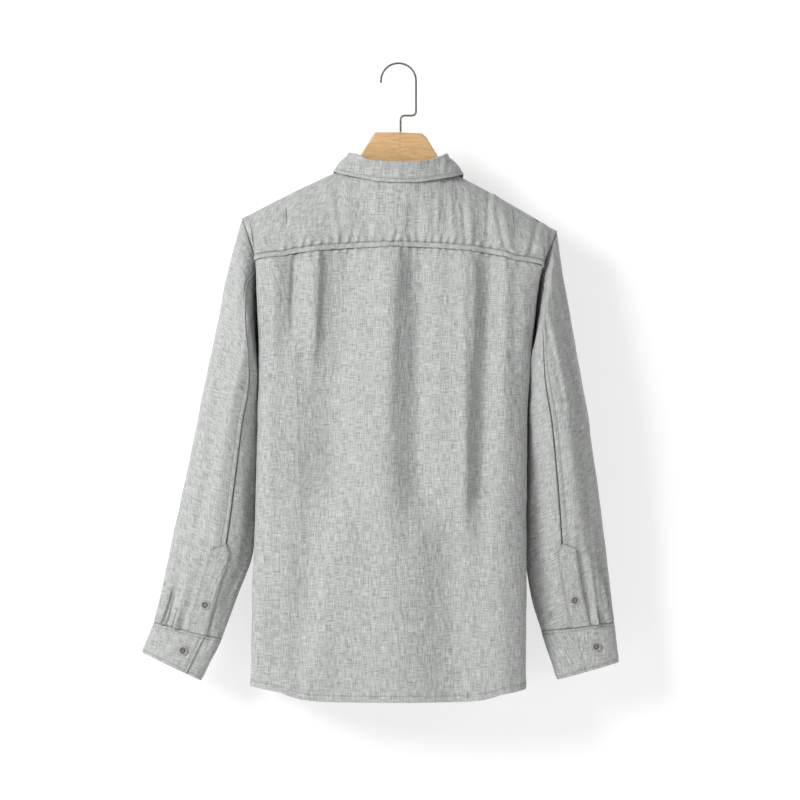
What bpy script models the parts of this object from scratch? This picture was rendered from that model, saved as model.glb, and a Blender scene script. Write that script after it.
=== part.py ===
"""A long-sleeved linen shirt hanging on a wooden hanger.

Metres, +Z up. The origin is the inside top of the hanger's hook, where a rail bears. The shirt's back
faces -Y and its buttoned front +Y, so the wearer's left is at -X. "drop" is the distance below the origin.
Every cloth piece is a wall whose outer face is a formula of two numbers, read from short tables of sections.
"""

import math

import bmesh
import bpy
import numpy as np

CLOTH = 0.0012  # wall of a single layer of linen, with its seam allowances
STIFF_CLOTH = 0.0014  # wall of the collar, bands and cuffs, which are double
SEAM_GAP = 0.0003  # between two pieces along a seam
LAY_GAP = 0.0004  # under a piece that lies on another
UNDERLAP = 0.0022  # how far a lower layer lies below the one that overlaps it

LEFT, RIGHT = -1, 1
LINEN = (0.45, 0.46, 0.45)
BUTTON_GREY = (0.33, 0.33, 0.30)
BEECH = (0.64, 0.40, 0.19)
STEEL = (0.55, 0.55, 0.53)


def table(names, *rows):
    """Named columns of a short table, with a row for each section or fold."""
    return {name: np.array(column, float) for name, column in zip(names.split(), zip(*rows))}


# ---- sizes: torso ------------------------------------------------------------------------------

# Half-sections of the body. left and right are its widest reach, at the depth "turn" from the side;
# back and front are the depths at its middle; the seam columns are where the armhole or side seam lies.
TORSO = table(
    "drop   left    right   back   front  turn   seam_left seam_right seam_back seam_front",
    (0.230, 0.2165, 0.2235, 0.045, 0.047, 0.028, 0.2160, 0.2230, 0.024, 0.020),
    (0.259, 0.2070, 0.2135, 0.048, 0.052, 0.034, 0.2062, 0.2125, 0.030, 0.026),
    (0.285, 0.2018, 0.2050, 0.051, 0.056, 0.038, 0.2015, 0.2050, 0.024, 0.022),
    (0.305, 0.2008, 0.2000, 0.054, 0.060, 0.040, 0.2012, 0.2006, 0.015, 0.016),
    (0.335, 0.2000, 0.1952, 0.059, 0.064, 0.040, 0.2010, 0.1962, 0.008, 0.009),
    (0.380, 0.1978, 0.1908, 0.065, 0.069, 0.040, 0.1995, 0.1920, 0.004, 0.005),
    (0.408, 0.1972, 0.1880, 0.068, 0.071, 0.040, 0.1990, 0.1892, 0.002, 0.003),
    (0.425, 0.1970, 0.1866, 0.070, 0.072, 0.040, 0.1988, 0.1880, 0.000, 0.000),
    (0.500, 0.1985, 0.1822, 0.074, 0.074, 0.040, 0.1960, 0.1800, 0.000, 0.000),
    (0.620, 0.2016, 0.1810, 0.074, 0.073, 0.040, 0.1985, 0.1780, 0.000, 0.000),
    (0.760, 0.2070, 0.1808, 0.071, 0.070, 0.040, 0.2040, 0.1778, 0.000, 0.000),
    (0.905, 0.2094, 0.1796, 0.068, 0.067, 0.040, 0.2066, 0.1768, 0.000, 0.000),
)
SECTION_POWER = 3.0  # of the superellipse that a half-section follows, 2 being an ellipse

# Edges that hang at another drop at the sides than at the middle, which they reach at the column "full".
YOKE_SEAM = {"centre": 0.259, LEFT: 0.281, RIGHT: 0.292, "power": 1.7, "full": 1.0, "round": 0}
HEM = {"centre": 0.9027, LEFT: 0.879, RIGHT: 0.883, "power": 5.5, "full": 0.86, "round": 1}
UNDERARM_DROP = 0.425
FRONT_YOKE_END = 0.031  # from the shoulder point down to the front yoke seam's outer end
ARMHOLE_SHARE = 0.23  # of a panel's rows, from its upper edge down to the underarm

# Spans of each grid between its seams. The pieces that meet along a seam use the same count there.
NECK_SPANS, SIDE_SPANS = 6, 9
OVER_BACK, DOWN_BACK, UP_FRONT, OVER_FRONT = 8, 10, 9, 4
BELOW_UNDERARM = 14
ROUND_SLEEVE = OVER_BACK + DOWN_BACK + UP_FRONT + OVER_FRONT
ALONG_SLEEVE = (0, 0.012, 0.028, 0.05, 0.08, 0.12, 0.17, 0.23, 0.30, 0.38, 0.46, 0.54, 0.62, 0.70, 0.77, 0.84)
ALONG_SLEEVE += (0.90, 0.95, 1.0)

NECK_HALF_WIDTH = 0.074
NECK = {"back": 0.046, "front": 0.046, "centre_back": 0.164, "centre_front": 0.226}
NECK_SIDE = {LEFT: 0.1475, RIGHT: 0.1530}
NECK_COLUMN = 0.34  # the column of the panels that leads to the side of the neck
FRONT_YOKE_ANGLE = 112.0  # where the front yoke seam meets the neckline, in degrees from centre back
SHOULDER = {LEFT: (0.222, 0.2197), RIGHT: (0.225, 0.2380)}
SHOULDER_BOW = 0.0088

# Soft folds of the back, towards -Y where depth is above 0. The crest runs from top_x to low_x.
BACK_FOLDS = table(
    "top    low    top_x   low_x   wide_left wide_right depth",
    (0.250, 0.590, -0.062, -0.096, 0.052, 0.030, -0.0120),
    (0.540, 0.860, -0.086, -0.146, 0.044, 0.026, -0.0084),
    (0.262, 0.385, -0.141, -0.150, 0.012, 0.010, -0.0044),
    (0.262, 0.400, -0.120, -0.122, 0.010, 0.014, 0.0040),
    (0.262, 0.660, -0.014, -0.020, 0.034, 0.026, 0.0074),
    (0.262, 0.610, 0.033, 0.028, 0.020, 0.018, -0.0070),
    (0.262, 0.640, 0.102, 0.094, 0.034, 0.012, 0.0066),
    (0.262, 0.600, 0.130, 0.116, 0.012, 0.009, -0.0062),
    (0.262, 0.900, 0.152, 0.150, 0.016, 0.024, 0.0048),
    (0.640, 0.930, 0.010, 0.000, 0.050, 0.040, 0.0052),
    (0.660, 0.930, 0.074, 0.082, 0.024, 0.020, -0.0048),
)
# Folds of the front, which the photograph hides: plain ones like those of the back.
FRONT_FOLDS = table(
    "top    low    top_x   low_x   wide_left wide_right depth",
    (0.300, 0.760, -0.128, -0.116, 0.022, 0.028, -0.0080),
    (0.290, 0.900, -0.078, -0.070, 0.026, 0.020, 0.0060),
    (0.320, 0.820, 0.120, 0.108, 0.024, 0.020, -0.0075),
    (0.290, 0.900, 0.072, 0.066, 0.022, 0.026, 0.0060),
)
# Folds of the yoke's back, each a soft ridge above the seam.
YOKE_FOLDS = table(
    "top    low    top_x   low_x   wide_left wide_right depth",
    (0.200, 0.262, -0.134, -0.140, 0.011, 0.012, 0.0032),
    (0.190, 0.258, -0.073, -0.078, 0.008, 0.012, 0.0030),
    (0.196, 0.256, -0.008, -0.012, 0.011, 0.014, 0.0030),
    (0.190, 0.256, 0.044, 0.038, 0.012, 0.014, 0.0032),
    (0.200, 0.256, 0.104, 0.098, 0.010, 0.011, 0.0028),
    (0.200, 0.264, 0.154, 0.146, 0.010, 0.012, 0.0030),
)
FOLD_FADE = 0.030  # the length over which a fold dies away at its ends

# ---- sizes: sleeves ----------------------------------------------------------------------------

# Rings of each sleeve from the armhole, 0, to the cuff seam, 1. The outer point is under the shoulder, the
# inner one under the arm; back and front are the depths; seam is the angle of the back seam, in degrees;
# lean is how far the ring's middle leans towards the body.
SLEEVE = {
    LEFT: table(
        "along outer_x outer_drop inner_x inner_drop back   front  seam lean",
        (0.00, 0.2220, 0.2197, 0.1988, 0.4250, 0.040, 0.036, 66, 0.000),
        (0.05, 0.2310, 0.2500, 0.2045, 0.4310, 0.050, 0.046, 92, 0.003),
        (0.13, 0.2430, 0.2980, 0.2050, 0.4410, 0.058, 0.054, 110, 0.006),
        (0.23, 0.2563, 0.3631, 0.2045, 0.4590, 0.062, 0.060, 118, 0.007),
        (0.34, 0.2690, 0.4260, 0.2038, 0.4870, 0.064, 0.062, 117, 0.003),
        (0.45, 0.2810, 0.4850, 0.2036, 0.5310, 0.060, 0.060, 114, 0.000),
        (0.56, 0.2925, 0.5430, 0.2052, 0.5810, 0.055, 0.055, 111, 0.000),
        (0.67, 0.3055, 0.6040, 0.2074, 0.6340, 0.049, 0.049, 109, 0.000),
        (0.78, 0.3185, 0.6620, 0.2100, 0.6900, 0.042, 0.042, 108, 0.000),
        (0.89, 0.3325, 0.7290, 0.2290, 0.7560, 0.032, 0.032, 109, 0.000),
        (1.00, 0.3470, 0.7925, 0.2510, 0.8160, 0.021, 0.021, 112, 0.000),
    ),
    RIGHT: table(
        "along outer_x outer_drop inner_x inner_drop back   front  seam lean",
        (0.00, 0.2250, 0.2380, 0.1880, 0.4250, 0.040, 0.036, 66, 0.000),
        (0.05, 0.2285, 0.2640, 0.1925, 0.4320, 0.050, 0.046, 84, 0.004),
        (0.13, 0.2350, 0.3063, 0.1935, 0.4440, 0.058, 0.054, 98, 0.009),
        (0.23, 0.2450, 0.3631, 0.1925, 0.4640, 0.062, 0.060, 102, 0.006),
        (0.34, 0.2560, 0.4260, 0.1900, 0.4950, 0.064, 0.062, 100, 0.002),
        (0.45, 0.2660, 0.4850, 0.1876, 0.5390, 0.060, 0.060, 97, 0.000),
        (0.56, 0.2745, 0.5430, 0.1870, 0.5880, 0.055, 0.055, 95, 0.000),
        (0.67, 0.2835, 0.6040, 0.1868, 0.6400, 0.049, 0.049, 94, 0.000),
        (0.78, 0.2905, 0.6650, 0.1866, 0.6940, 0.042, 0.042, 93, 0.000),
        (0.89, 0.2985, 0.7290, 0.1900, 0.7540, 0.032, 0.032, 92, 0.000),
        (1.00, 0.3060, 0.7920, 0.2030, 0.8050, 0.021, 0.021, 91, 0.000),
    ),
}
RING_POWER = 2.3
ARMHOLE_BLEND = 0.06  # share of the sleeve over which the armhole's shape becomes a plain ring
ARMHOLE_SPREAD = 0.35  # share over which the places round the armhole become those round a ring
# Places round a ring, from the outer edge over the back to the underarm and up the front.
YOKE_END_TURN = OVER_BACK / ROUND_SLEEVE
BACK_SEAM_TURN = (OVER_BACK + 1) / ROUND_SLEEVE
UNDERARM_TURN = (OVER_BACK + DOWN_BACK) / ROUND_SLEEVE
FRONT_YOKE_END_TURN = 1 - OVER_FRONT / ROUND_SLEEVE
# The cuff's lower edge, as a ring like those above.
CUFF_EDGE = {
    LEFT: (0.3642, 0.8346, 0.2805, 0.8746, 0.019),
    RIGHT: (0.3127, 0.8487, 0.2254, 0.8735, 0.019),
}
CUFF_UNDERLAP = 34.0  # degrees of the ring over which the cuff's ends lie on each other
# Folds along each sleeve, by angle round the ring; wide is in degrees, depth in metres, out where above 0.
SLEEVE_FOLDS = {
    LEFT: table(
        "start end   from_angle to_angle wide depth",
        (0.06, 0.80, 92, 88, 13, 0.0040),
        (0.20, 0.95, 62, 56, 14, -0.0040),
        (0.30, 0.90, 28, 34, 12, 0.0030),
        (0.80, 1.04, 40, 52, 9, -0.0060),
        (0.10, 0.90, 290, 280, 18, -0.0050),
        (0.15, 0.85, 238, 242, 18, 0.0040),
        (0.55, 0.92, 148, 142, 13, -0.0045),
    ),
    RIGHT: table(
        "start end   from_angle to_angle wide depth",
        (0.06, 0.80, 72, 70, 13, 0.0040),
        (0.20, 0.95, 48, 40, 12, -0.0045),
        (0.40, 0.95, 22, 16, 10, 0.0025),
        (0.78, 1.04, 32, 22, 9, -0.0060),
        (0.10, 0.90, 290, 280, 18, -0.0050),
        (0.15, 0.85, 238, 242, 18, 0.0040),
        (0.50, 0.92, 132, 128, 15, -0.0055),
    ),
}
SLEEVE_FOLD_FADE = 0.06
PLACKET_WIDTH = 0.0265
PLACKET_OVER = 0.0085  # how far the placket's free edge passes the sleeve's back seam
PLACKET_START = 0.777  # its point, along the sleeve
PLACKET_SHOULDER = 0.799  # the lower end of its slanting sides
PLACKET_TIP = 0.30  # where across the placket its point is, from the free edge
PLACKET_BUTTON = 0.925
PLACKET_LIFT = 0.0012  # under the placket, whose sleeve is folded in flats
CUFF_BUTTON_BACK = {LEFT: 23.0, RIGHT: 31.0}  # degrees from the cuff's overlapping end to its button

# ---- sizes: collar, bands, buttons, hanger ------------------------------------------------------

# The stand's top edge and the leaf's lower edge, by angle round the neck from centre back.
COLLAR = table(
    "angle top_x  top_y   top_drop edge_x edge_y  edge_drop",
    (0.0, 0.0000, -0.0420, 0.1425, 0.0000, -0.0510, 0.1697),
    (15.0, 0.0188, -0.0405, 0.1423, 0.0250, -0.0492, 0.1687),
    (30.0, 0.0360, -0.0350, 0.1410, 0.0485, -0.0440, 0.1650),
    (60.0, 0.0600, -0.0180, 0.1330, 0.0815, -0.0280, 0.1582),
    (90.0, 0.0680, 0.0040, 0.1300, 0.0925, 0.0000, 0.1545),
    (115.0, 0.0600, 0.022, 0.1400, 0.0900, 0.0320, 0.1730),
    (140.0, 0.0420, 0.036, 0.1640, 0.0760, 0.0500, 0.2080),
    (160.0, 0.0230, 0.042, 0.1850, 0.0620, 0.0600, 0.2420),
    (171.0, 0.0105, 0.044, 0.1945, 0.0520, 0.0640, 0.2640),
    (180.0, 0.0000, 0.0445, 0.1980, 0.0400, 0.0640, 0.2700),
)
COLLAR_LEAN = 0.020  # the collar sits lower on the right, by this slope
LEAF_END_ANGLE = FRONT_YOKE_ANGLE + (180 - FRONT_YOKE_ANGLE) * (NECK_SPANS - 1) / NECK_SPANS
# The leaf's section at the fold: how far outside and above the stand's top edge its outer face runs.
LEAF_ROLL = table(
    "down   out      above",
    (0.000, -0.0014, 0.0006),
    (0.020, -0.0010, 0.0028),
    (0.045, 0.0012, 0.0036),
    (0.075, 0.0036, 0.0024),
    (0.110, 0.0046, 0.0000),
)
BAND_HALF_WIDTH = 0.016
PLACKET_TOP = 0.004  # share of the front at which the buttonhole band starts, under the stand
BAND_REACH = 0.066  # the front columns over which the lower layer slips under the upper one

BUTTON_RADIUS = 0.0062
BUTTON_THICK = 0.0022
FRONT_BUTTONS = 7
FIRST_BUTTON, LAST_BUTTON = 0.085, 0.86  # shares of the front's length

WIRE_RADIUS = 0.0016
HOOK_RADIUS = 0.0249
HOOK_BEND = 0.0055
STEM_X = 0.0030
STEM_LEG_DROP = 0.0728
WOOD_TOP_DROP = 0.0966
# One arm of the hanger, from the middle outwards. thick is the whole thickness along Y.
HANGER = table(
    "out    top_left top_right bottom thick",
    (0.0000, 0.0966, 0.0966, 0.1700, 0.0120),
    (0.0330, 0.0966, 0.0980, 0.1760, 0.0120),
    (0.0400, 0.1065, 0.1040, 0.1775, 0.0120),
    (0.0540, 0.1290, 0.1275, 0.1820, 0.0120),
    (0.0640, 0.1440, 0.1480, 0.1850, 0.0120),
)
ARM_DEPTH = 0.034  # of the arm below the shoulder line at the neck
ARM_TIP_DEPTH = 0.022
ARM_TIP_THICK = 0.0150
ARM_END_INSET = 0.010  # from the shoulder point to the end of the wood
ARM_CLEAR = 0.0030  # from the shoulder line's outer face down to the wood
ARM_CHAMFER = 0.0035
JOINT_X = 0.0021  # of the mitre between the arms


# ---- small tools -------------------------------------------------------------------------------


def smooth(rows, key, column, where):
    """A smooth curve through a table's rows, read at the places given. It never passes a row's value."""
    x, y = rows[key], rows[column]
    rise = np.diff(y) / np.diff(x)
    product = rise[:-1] * rise[1:]
    total = np.where(product > 0, rise[:-1] + rise[1:], 1.0)
    slope = np.concatenate([rise[:1], np.where(product > 0, 2 * product / total, 0.0), rise[-1:]])
    where = np.clip(where, x[0], x[-1])
    i = np.clip(np.searchsorted(x, where) - 1, 0, len(x) - 2)
    run = x[i + 1] - x[i]
    t = (where - x[i]) / run
    start = (1 + 2 * t) * (1 - t) ** 2 * y[i] + t * (1 - t) ** 2 * run * slope[i]
    end = t**2 * (3 - 2 * t) * y[i + 1] - t**2 * (1 - t) * run * slope[i + 1]
    return start + end


def ease(low, high, where):
    """0 below low, 1 above high, and a smooth step between."""
    t = np.clip((where - low) / (high - low), 0, 1)
    return t * t * (3 - 2 * t)


def mix(start, end, share):
    return start + (end - start) * share


def points(x, y, z):
    return np.stack(np.broadcast_arrays(x, y, z), axis=-1).astype(float)


def unit(vectors):
    return vectors / np.maximum(np.linalg.norm(vectors, axis=-1, keepdims=True), 1e-12)


def hermite(start, end, start_way, end_way, t):
    """A curve from start to end that leaves and arrives along the two ways."""
    t = np.asarray(t)[..., None]
    curve = (1 + 2 * t) * (1 - t) ** 2 * start + t**2 * (3 - 2 * t) * end
    return curve + t * (1 - t) ** 2 * start_way - t**2 * (1 - t) * end_way


def fold_height(folds, x, drop):
    """How far the cloth stands out at a place, from all the folds of a table."""
    x, drop = np.broadcast_arrays(x, drop)
    height = np.zeros(x.shape)
    for top, low, top_x, low_x, wide_left, wide_right, depth in zip(*folds.values()):
        offset = x - mix(top_x, low_x, (drop - top) / (low - top))
        wide = np.where(offset < 0, wide_left, wide_right)
        begun = ease(top - FOLD_FADE, top + FOLD_FADE, drop)
        ended = ease(low - FOLD_FADE, low + FOLD_FADE, drop)
        height += depth * np.exp(-((offset / wide) ** 2)) * begun * (1 - ended)
    return height


# ---- the torso's surface -----------------------------------------------------------------------


def half_section(side, face, column, drop):
    """(x, y) of the body at a drop. column is 0 at the middle and 1 at the armhole or side seam."""
    name = "left" if side == LEFT else "right"
    reach = smooth(TORSO, "drop", name, drop)
    deep = smooth(TORSO, "drop", "back" if face < 0 else "front", drop)
    turn = smooth(TORSO, "drop", "turn", drop)
    seam_x = smooth(TORSO, "drop", "seam_" + name, drop)
    seam_deep = smooth(TORSO, "drop", "seam_back" if face < 0 else "seam_front", drop)
    across = np.abs(column) * (reach + deep - seam_deep)
    to_corner = mix(deep - turn, reach, 0.5 ** (1 / SECTION_POWER))
    corner = np.clip(across / to_corner, 0, 1)
    down = 1 - np.clip((across - to_corner) / (reach + deep - turn - to_corner), 0, 1)
    scale = (corner**SECTION_POWER + down**SECTION_POWER) ** (-1 / SECTION_POWER)
    round_side = np.clip((across - reach - deep + turn) / (turn - seam_deep), 0, 1)
    x = reach * corner * scale - (reach - seam_x) * ease(0, 1, round_side)
    y = turn + (deep - turn) * down * scale - (turn - seam_deep) * round_side
    return side * np.sign(column) * x, face * y


def row_drop(edge, side, column):
    """The drop along an edge that hangs lower or higher at the sides than at the middle."""
    share = np.clip(np.abs(column) / edge["full"], 0, 1)
    rise = mix(share, np.sin(math.pi / 2 * share), edge["round"]) ** edge["power"]
    return mix(edge["centre"], edge[side], rise)


def panel_share(top, side, column, row):
    """How far down a panel a row lies, with the row ARMHOLE_SHARE at the underarm on either side."""
    at_underarm = (UNDERARM_DROP - top) / (HEM[side] - top)
    armhole_row = mix(ARMHOLE_SHARE, at_underarm, np.abs(column) ** 2)
    above = armhole_row * row / ARMHOLE_SHARE
    below = mix(armhole_row, 1.0, (row - ARMHOLE_SHARE) / (1 - ARMHOLE_SHARE))
    return np.where(row < ARMHOLE_SHARE, above, below)


def back(side, column, row):
    """The back panel: column 0 to 1 from centre back to side, row 0 to 1 from yoke to hem."""
    share = panel_share(YOKE_SEAM[side], side, column, row)
    drop = mix(row_drop(YOKE_SEAM, side, column), row_drop(HEM, side, column), share)
    x, y = half_section(side, -1, column, drop)
    flat = 1 - ease(0.80, 0.97, np.abs(column))
    return points(x, y - flat * fold_height(BACK_FOLDS, x, drop), -drop)


def neckline(side, angle):
    """The seam between body and collar, by angle in degrees from centre back past centre front."""
    turn = np.radians(angle)
    behind = np.cos(turn) > 0
    y = -np.cos(turn) * np.where(behind, NECK["back"], NECK["front"])
    low = np.where(behind, NECK["centre_back"], NECK["centre_front"])
    power = np.where(behind, 2.0, 1.5)
    drop = mix(NECK_SIDE[side], low, np.abs(np.cos(turn)) ** power)
    return points(side * NECK_HALF_WIDTH * np.sin(turn), y, -drop)


def tuck(side, x):
    """How far the right side slips under the left one near the centre front."""
    if side == LEFT:
        return np.zeros_like(x)
    return UNDERLAP * (1 - ease(BAND_HALF_WIDTH + 0.004, BAND_REACH, x))


def shoulder_line(side, share):
    """The ridge of the shoulder, from the neck, 0, to the top of the sleeve, 1."""
    out, drop = SHOULDER[side]
    bow = SHOULDER_BOW * share * (1 - share)
    return points(side * mix(NECK_HALF_WIDTH, out, share), 0.0, -(mix(NECK_SIDE[side], drop, share) - bow))


def past_neck(column):
    return np.clip((np.abs(column) - NECK_COLUMN) / (1 - NECK_COLUMN), 0, 1)


def front_top(side, column):
    """The front panel's upper edge: the neckline up to NECK_COLUMN, then the front yoke seam."""
    in_neck = np.clip(column / NECK_COLUMN, -1, 1)
    neck = neckline(side, mix(180.0, FRONT_YOKE_ANGLE, in_neck))
    end_drop = SHOULDER[side][1] + FRONT_YOKE_END
    end = points(*half_section(side, 1, np.array(1.0), end_drop), -end_drop)
    share = past_neck(column)[..., None]
    line = mix(neck, end, share) + np.array([0.0, 0.040, 0.0]) * share * (1 - share)
    x, y = half_section(side, 1, column, -line[..., 2])
    return mix(line, points(x, y, line[..., 2]), ease(0.25, 1.0, share))


def front(side, column, row):
    """A front panel: column 0 to 1 from centre front to side, row 0 to 1 from its upper edge to the hem."""
    column, row = np.broadcast_arrays(np.asarray(column, float), np.asarray(row, float))
    top = front_top(side, column)
    share = panel_share(SHOULDER[side][1] + FRONT_YOKE_END, side, column, row)
    drop = mix(-top[..., 2], row_drop(HEM, side, column), share)
    x, y = half_section(side, 1, column, drop)
    top_x, top_y = half_section(side, 1, column, -top[..., 2])
    fade = (1 - ease(0.0, 0.45, share)) ** 1.5
    flat = 1 - ease(0.80, 0.97, np.abs(column))
    x = x + fade * (top[..., 0] - top_x)
    y = y + fade * (top[..., 1] - top_y) + flat * fold_height(FRONT_FOLDS, x, drop)
    return points(x, y - tuck(side, x), -drop)


def yoke_behind(side, column, up):
    """The yoke from the back seam, 0, up to the shoulder line or the neckline, 1."""
    seam = back(side, column, np.zeros_like(column))
    climb = unit(seam - back(side, column, np.full_like(column, 1e-3)))
    in_neck = np.clip(np.abs(column) / NECK_COLUMN, 0, 1)
    share = past_neck(column)
    ridge = np.where((share > 0)[..., None], shoulder_line(side, share), neckline(side, 90 * in_neck))
    lean = (in_neck**2)[..., None]
    ridge_way = unit(mix(np.array([0.0, 0.3, 1.0]), np.array([0.0, 1.0, 0.0]), lean))
    rise = np.linalg.norm(ridge - seam, axis=-1, keepdims=True)
    face = hermite(seam, ridge, climb * rise, ridge_way * rise, up)
    height = fold_height(YOKE_FOLDS, face[..., 0], -face[..., 2]) * (1 - ease(0.85, 1, share))
    return face - points(0, 1, 0) * (height * ease(0, 0.12, up) * (1 - ease(0.6, 1, up)))[..., None]


def yoke_ahead(side, column, down):
    """The yoke from the shoulder line, 0, down to the front seam, 1, before its neck edge is cut."""
    ridge = shoulder_line(side, past_neck(column))
    seam = front_top(side, column)
    upper = front(side, column, np.zeros_like(column))
    fall = unit(front(side, column, np.full_like(column, 1e-3)) - upper)
    run = np.linalg.norm(seam - ridge, axis=-1, keepdims=True)
    return hermite(ridge, seam, np.array([0.0, 1.0, 0.0]) * run, fall * run, down)


def yoke_front(side, column, down):
    """The yoke in front of the shoulder line, with its neck edge on the neckline."""
    column, down = np.broadcast_arrays(np.asarray(column, float), np.asarray(down, float))
    at_neck = yoke_ahead(side, np.full_like(column, NECK_COLUMN), down)
    wanted = neckline(side, mix(90.0, FRONT_YOKE_ANGLE, down))
    face = yoke_ahead(side, column, down)
    return face + (wanted - at_neck) * ((1 - past_neck(column)) ** 3)[..., None]


def armhole(side, turn):
    """The seam between body and sleeve, by the place round the sleeve."""
    turn = np.asarray(turn, float) % 1.0
    one = np.ones_like(turn)
    up_back = 1 - np.clip(turn / YOKE_END_TURN, 0, 1)
    down_back = np.clip((turn - YOKE_END_TURN) / (UNDERARM_TURN - YOKE_END_TURN), 0, 1)
    up_front = np.clip((FRONT_YOKE_END_TURN - turn) / (FRONT_YOKE_END_TURN - UNDERARM_TURN), 0, 1)
    over_front = np.clip((1 - turn) / (1 - FRONT_YOKE_END_TURN), 0, 1)
    places = (
        (turn < FRONT_YOKE_END_TURN, front(side, one, ARMHOLE_SHARE * up_front)),
        (turn < UNDERARM_TURN, back(side, one, ARMHOLE_SHARE * down_back)),
        (turn < YOKE_END_TURN, yoke_behind(side, one, up_back)),
    )
    found = yoke_front(side, one, over_front)
    for here, place in places:
        found = np.where(here[..., None], place, found)
    return found


# ---- sleeves, cuffs, collar --------------------------------------------------------------------


def armhole_angle(side, turn):
    """The angle round the first ring that lies beside each place of the armhole."""
    place = armhole(side, turn)
    rows = {name: column[0] for name, column in SLEEVE[side].items()}
    reach = np.array([rows["outer_x"] - rows["inner_x"], rows["outer_drop"] - rows["inner_drop"]]) / 2
    middle = np.array([rows["outer_x"] + rows["inner_x"], rows["outer_drop"] + rows["inner_drop"]]) / 2
    offset = np.stack([side * place[..., 0], -place[..., 2]], axis=-1) - middle
    across = np.clip(offset @ reach / (reach @ reach), -1, 1)
    deep = (1 - np.abs(across) ** RING_POWER) ** (1 / RING_POWER)
    angle = np.degrees(np.arctan2(deep, across))
    return np.where(turn % 1.0 > UNDERARM_TURN, 360 - angle, angle)


def ring_angle(side, turn, along):
    """The angle round a sleeve's ring, in degrees, with the back seam always at BACK_SEAM_TURN."""
    seam = smooth(SLEEVE[side], "along", "seam", along)
    to_seam = seam * turn / BACK_SEAM_TURN
    to_underarm = mix(seam, 180.0, (turn - BACK_SEAM_TURN) / (UNDERARM_TURN - BACK_SEAM_TURN))
    to_outer = mix(180.0, 360.0, (turn - UNDERARM_TURN) / (1 - UNDERARM_TURN))
    even = np.where(turn < BACK_SEAM_TURN, to_seam, np.where(turn < UNDERARM_TURN, to_underarm, to_outer))
    return mix(armhole_angle(side, turn), even, ease(0, ARMHOLE_SPREAD, along))


def ring(side, outer, inner, behind, ahead, angle, out, lean=0.0):
    """A point of a ring that spans outer to inner, (x, drop) each, raised by out from its face."""
    turn = np.radians(angle)
    cosine, sine = np.cos(turn), np.sin(turn)
    scale = (np.abs(cosine) ** RING_POWER + np.abs(sine) ** RING_POWER) ** (-1 / RING_POWER)
    reach_x, reach_drop = (outer[0] - inner[0]) / 2, (outer[1] - inner[1]) / 2
    across = cosine * scale + cosine * out / np.hypot(reach_x, reach_drop)
    deep = np.where(sine > 0, -behind, -ahead) * sine * scale - sine * out
    x = (outer[0] + inner[0]) / 2 + reach_x * across - lean * np.abs(sine)
    drop = (outer[1] + inner[1]) / 2 + reach_drop * across
    return points(side * x, deep, -drop)


def sleeve_fold(side, angle, along):
    """How far a sleeve's face stands out at a place, from all its folds."""
    height = np.zeros(np.broadcast(angle, along).shape)
    for start, end, from_angle, to_angle, wide, depth in zip(*SLEEVE_FOLDS[side].values()):
        centre = mix(from_angle, to_angle, (along - start) / (end - start))
        offset = (angle - centre + 180) % 360 - 180
        begun = ease(start - SLEEVE_FOLD_FADE, start + SLEEVE_FOLD_FADE, along)
        ended = ease(end - SLEEVE_FOLD_FADE, end + SLEEVE_FOLD_FADE, along)
        height = height + depth * np.exp(-((offset / wide) ** 2)) * begun * (1 - ended)
    return height


def plain_sleeve(side, turn, along, fold):
    rows = {name: smooth(SLEEVE[side], "along", name, along) for name in SLEEVE[side]}
    outer = rows["outer_x"], rows["outer_drop"]
    inner = rows["inner_x"], rows["inner_drop"]
    angle = ring_angle(side, turn, along)
    return ring(side, outer, inner, rows["back"], rows["front"], angle, fold, rows["lean"])


def sleeve(side, turn, along):
    """The sleeve's outer face: turn round it, along 0 to 1 from the armhole to the cuff seam."""
    turn, along = np.broadcast_arrays(np.asarray(turn, float), np.asarray(along, float))
    turn = turn % 1.0
    fold = sleeve_fold(side, ring_angle(side, turn, along), along)
    fold = fold * ease(0.0, 0.10, along) * (1 - ease(0.985, 1.0, along) * 0.6)
    pull = ((1 - np.clip(along / ARMHOLE_BLEND, 0, 1)) ** 2)[..., None]
    none = np.zeros_like(along)
    shift = armhole(side, turn) - plain_sleeve(side, turn, none, none)
    return plain_sleeve(side, turn, along, fold) + pull * shift


def cuff(side, angle, down):
    """A cuff's outer face: angle in degrees round it, past 360 where it laps itself, down 0 to 1."""
    rows = {name: column[-1] for name, column in SLEEVE[side].items()}
    outer_x, outer_drop, inner_x, inner_drop, deep = CUFF_EDGE[side]
    outer = mix(rows["outer_x"], outer_x, down), mix(rows["outer_drop"], outer_drop, down)
    inner = mix(rows["inner_x"], inner_x, down), mix(rows["inner_drop"], inner_drop, down)
    start = cuff_angles(side)[0]
    under = UNDERLAP * (1 - ease(start + CUFF_UNDERLAP + 2, start + CUFF_UNDERLAP + 30, angle))
    thick = mix(rows["back"], deep, down)
    return ring(side, outer, inner, thick, thick, angle, 0.0004 - under)


def cuff_angles(side):
    """The ring angles at which the cuff starts, under its own lap, and ends."""
    end = SLEEVE[side]["seam"][-1] + 360 + 8
    return end - 360 - CUFF_UNDERLAP, end


def collar_curve(side, kind, angle):
    """The stand's top edge or the leaf's lower edge, mirrored past centre front."""
    before = 180 - np.abs(180 - angle)
    x, y, drop = (smooth(COLLAR, "angle", kind + name, before) for name in ("_x", "_y", "_drop"))
    x = np.where(angle > 180, -x, x)
    return points(side * x, y, -drop - side * x * COLLAR_LEAN)


def collar_tuck(side, angle):
    x = side * neckline(side, angle)[..., 0]
    return points(0, np.where(angle > 90, -tuck(side, x), 0), 0)


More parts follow.
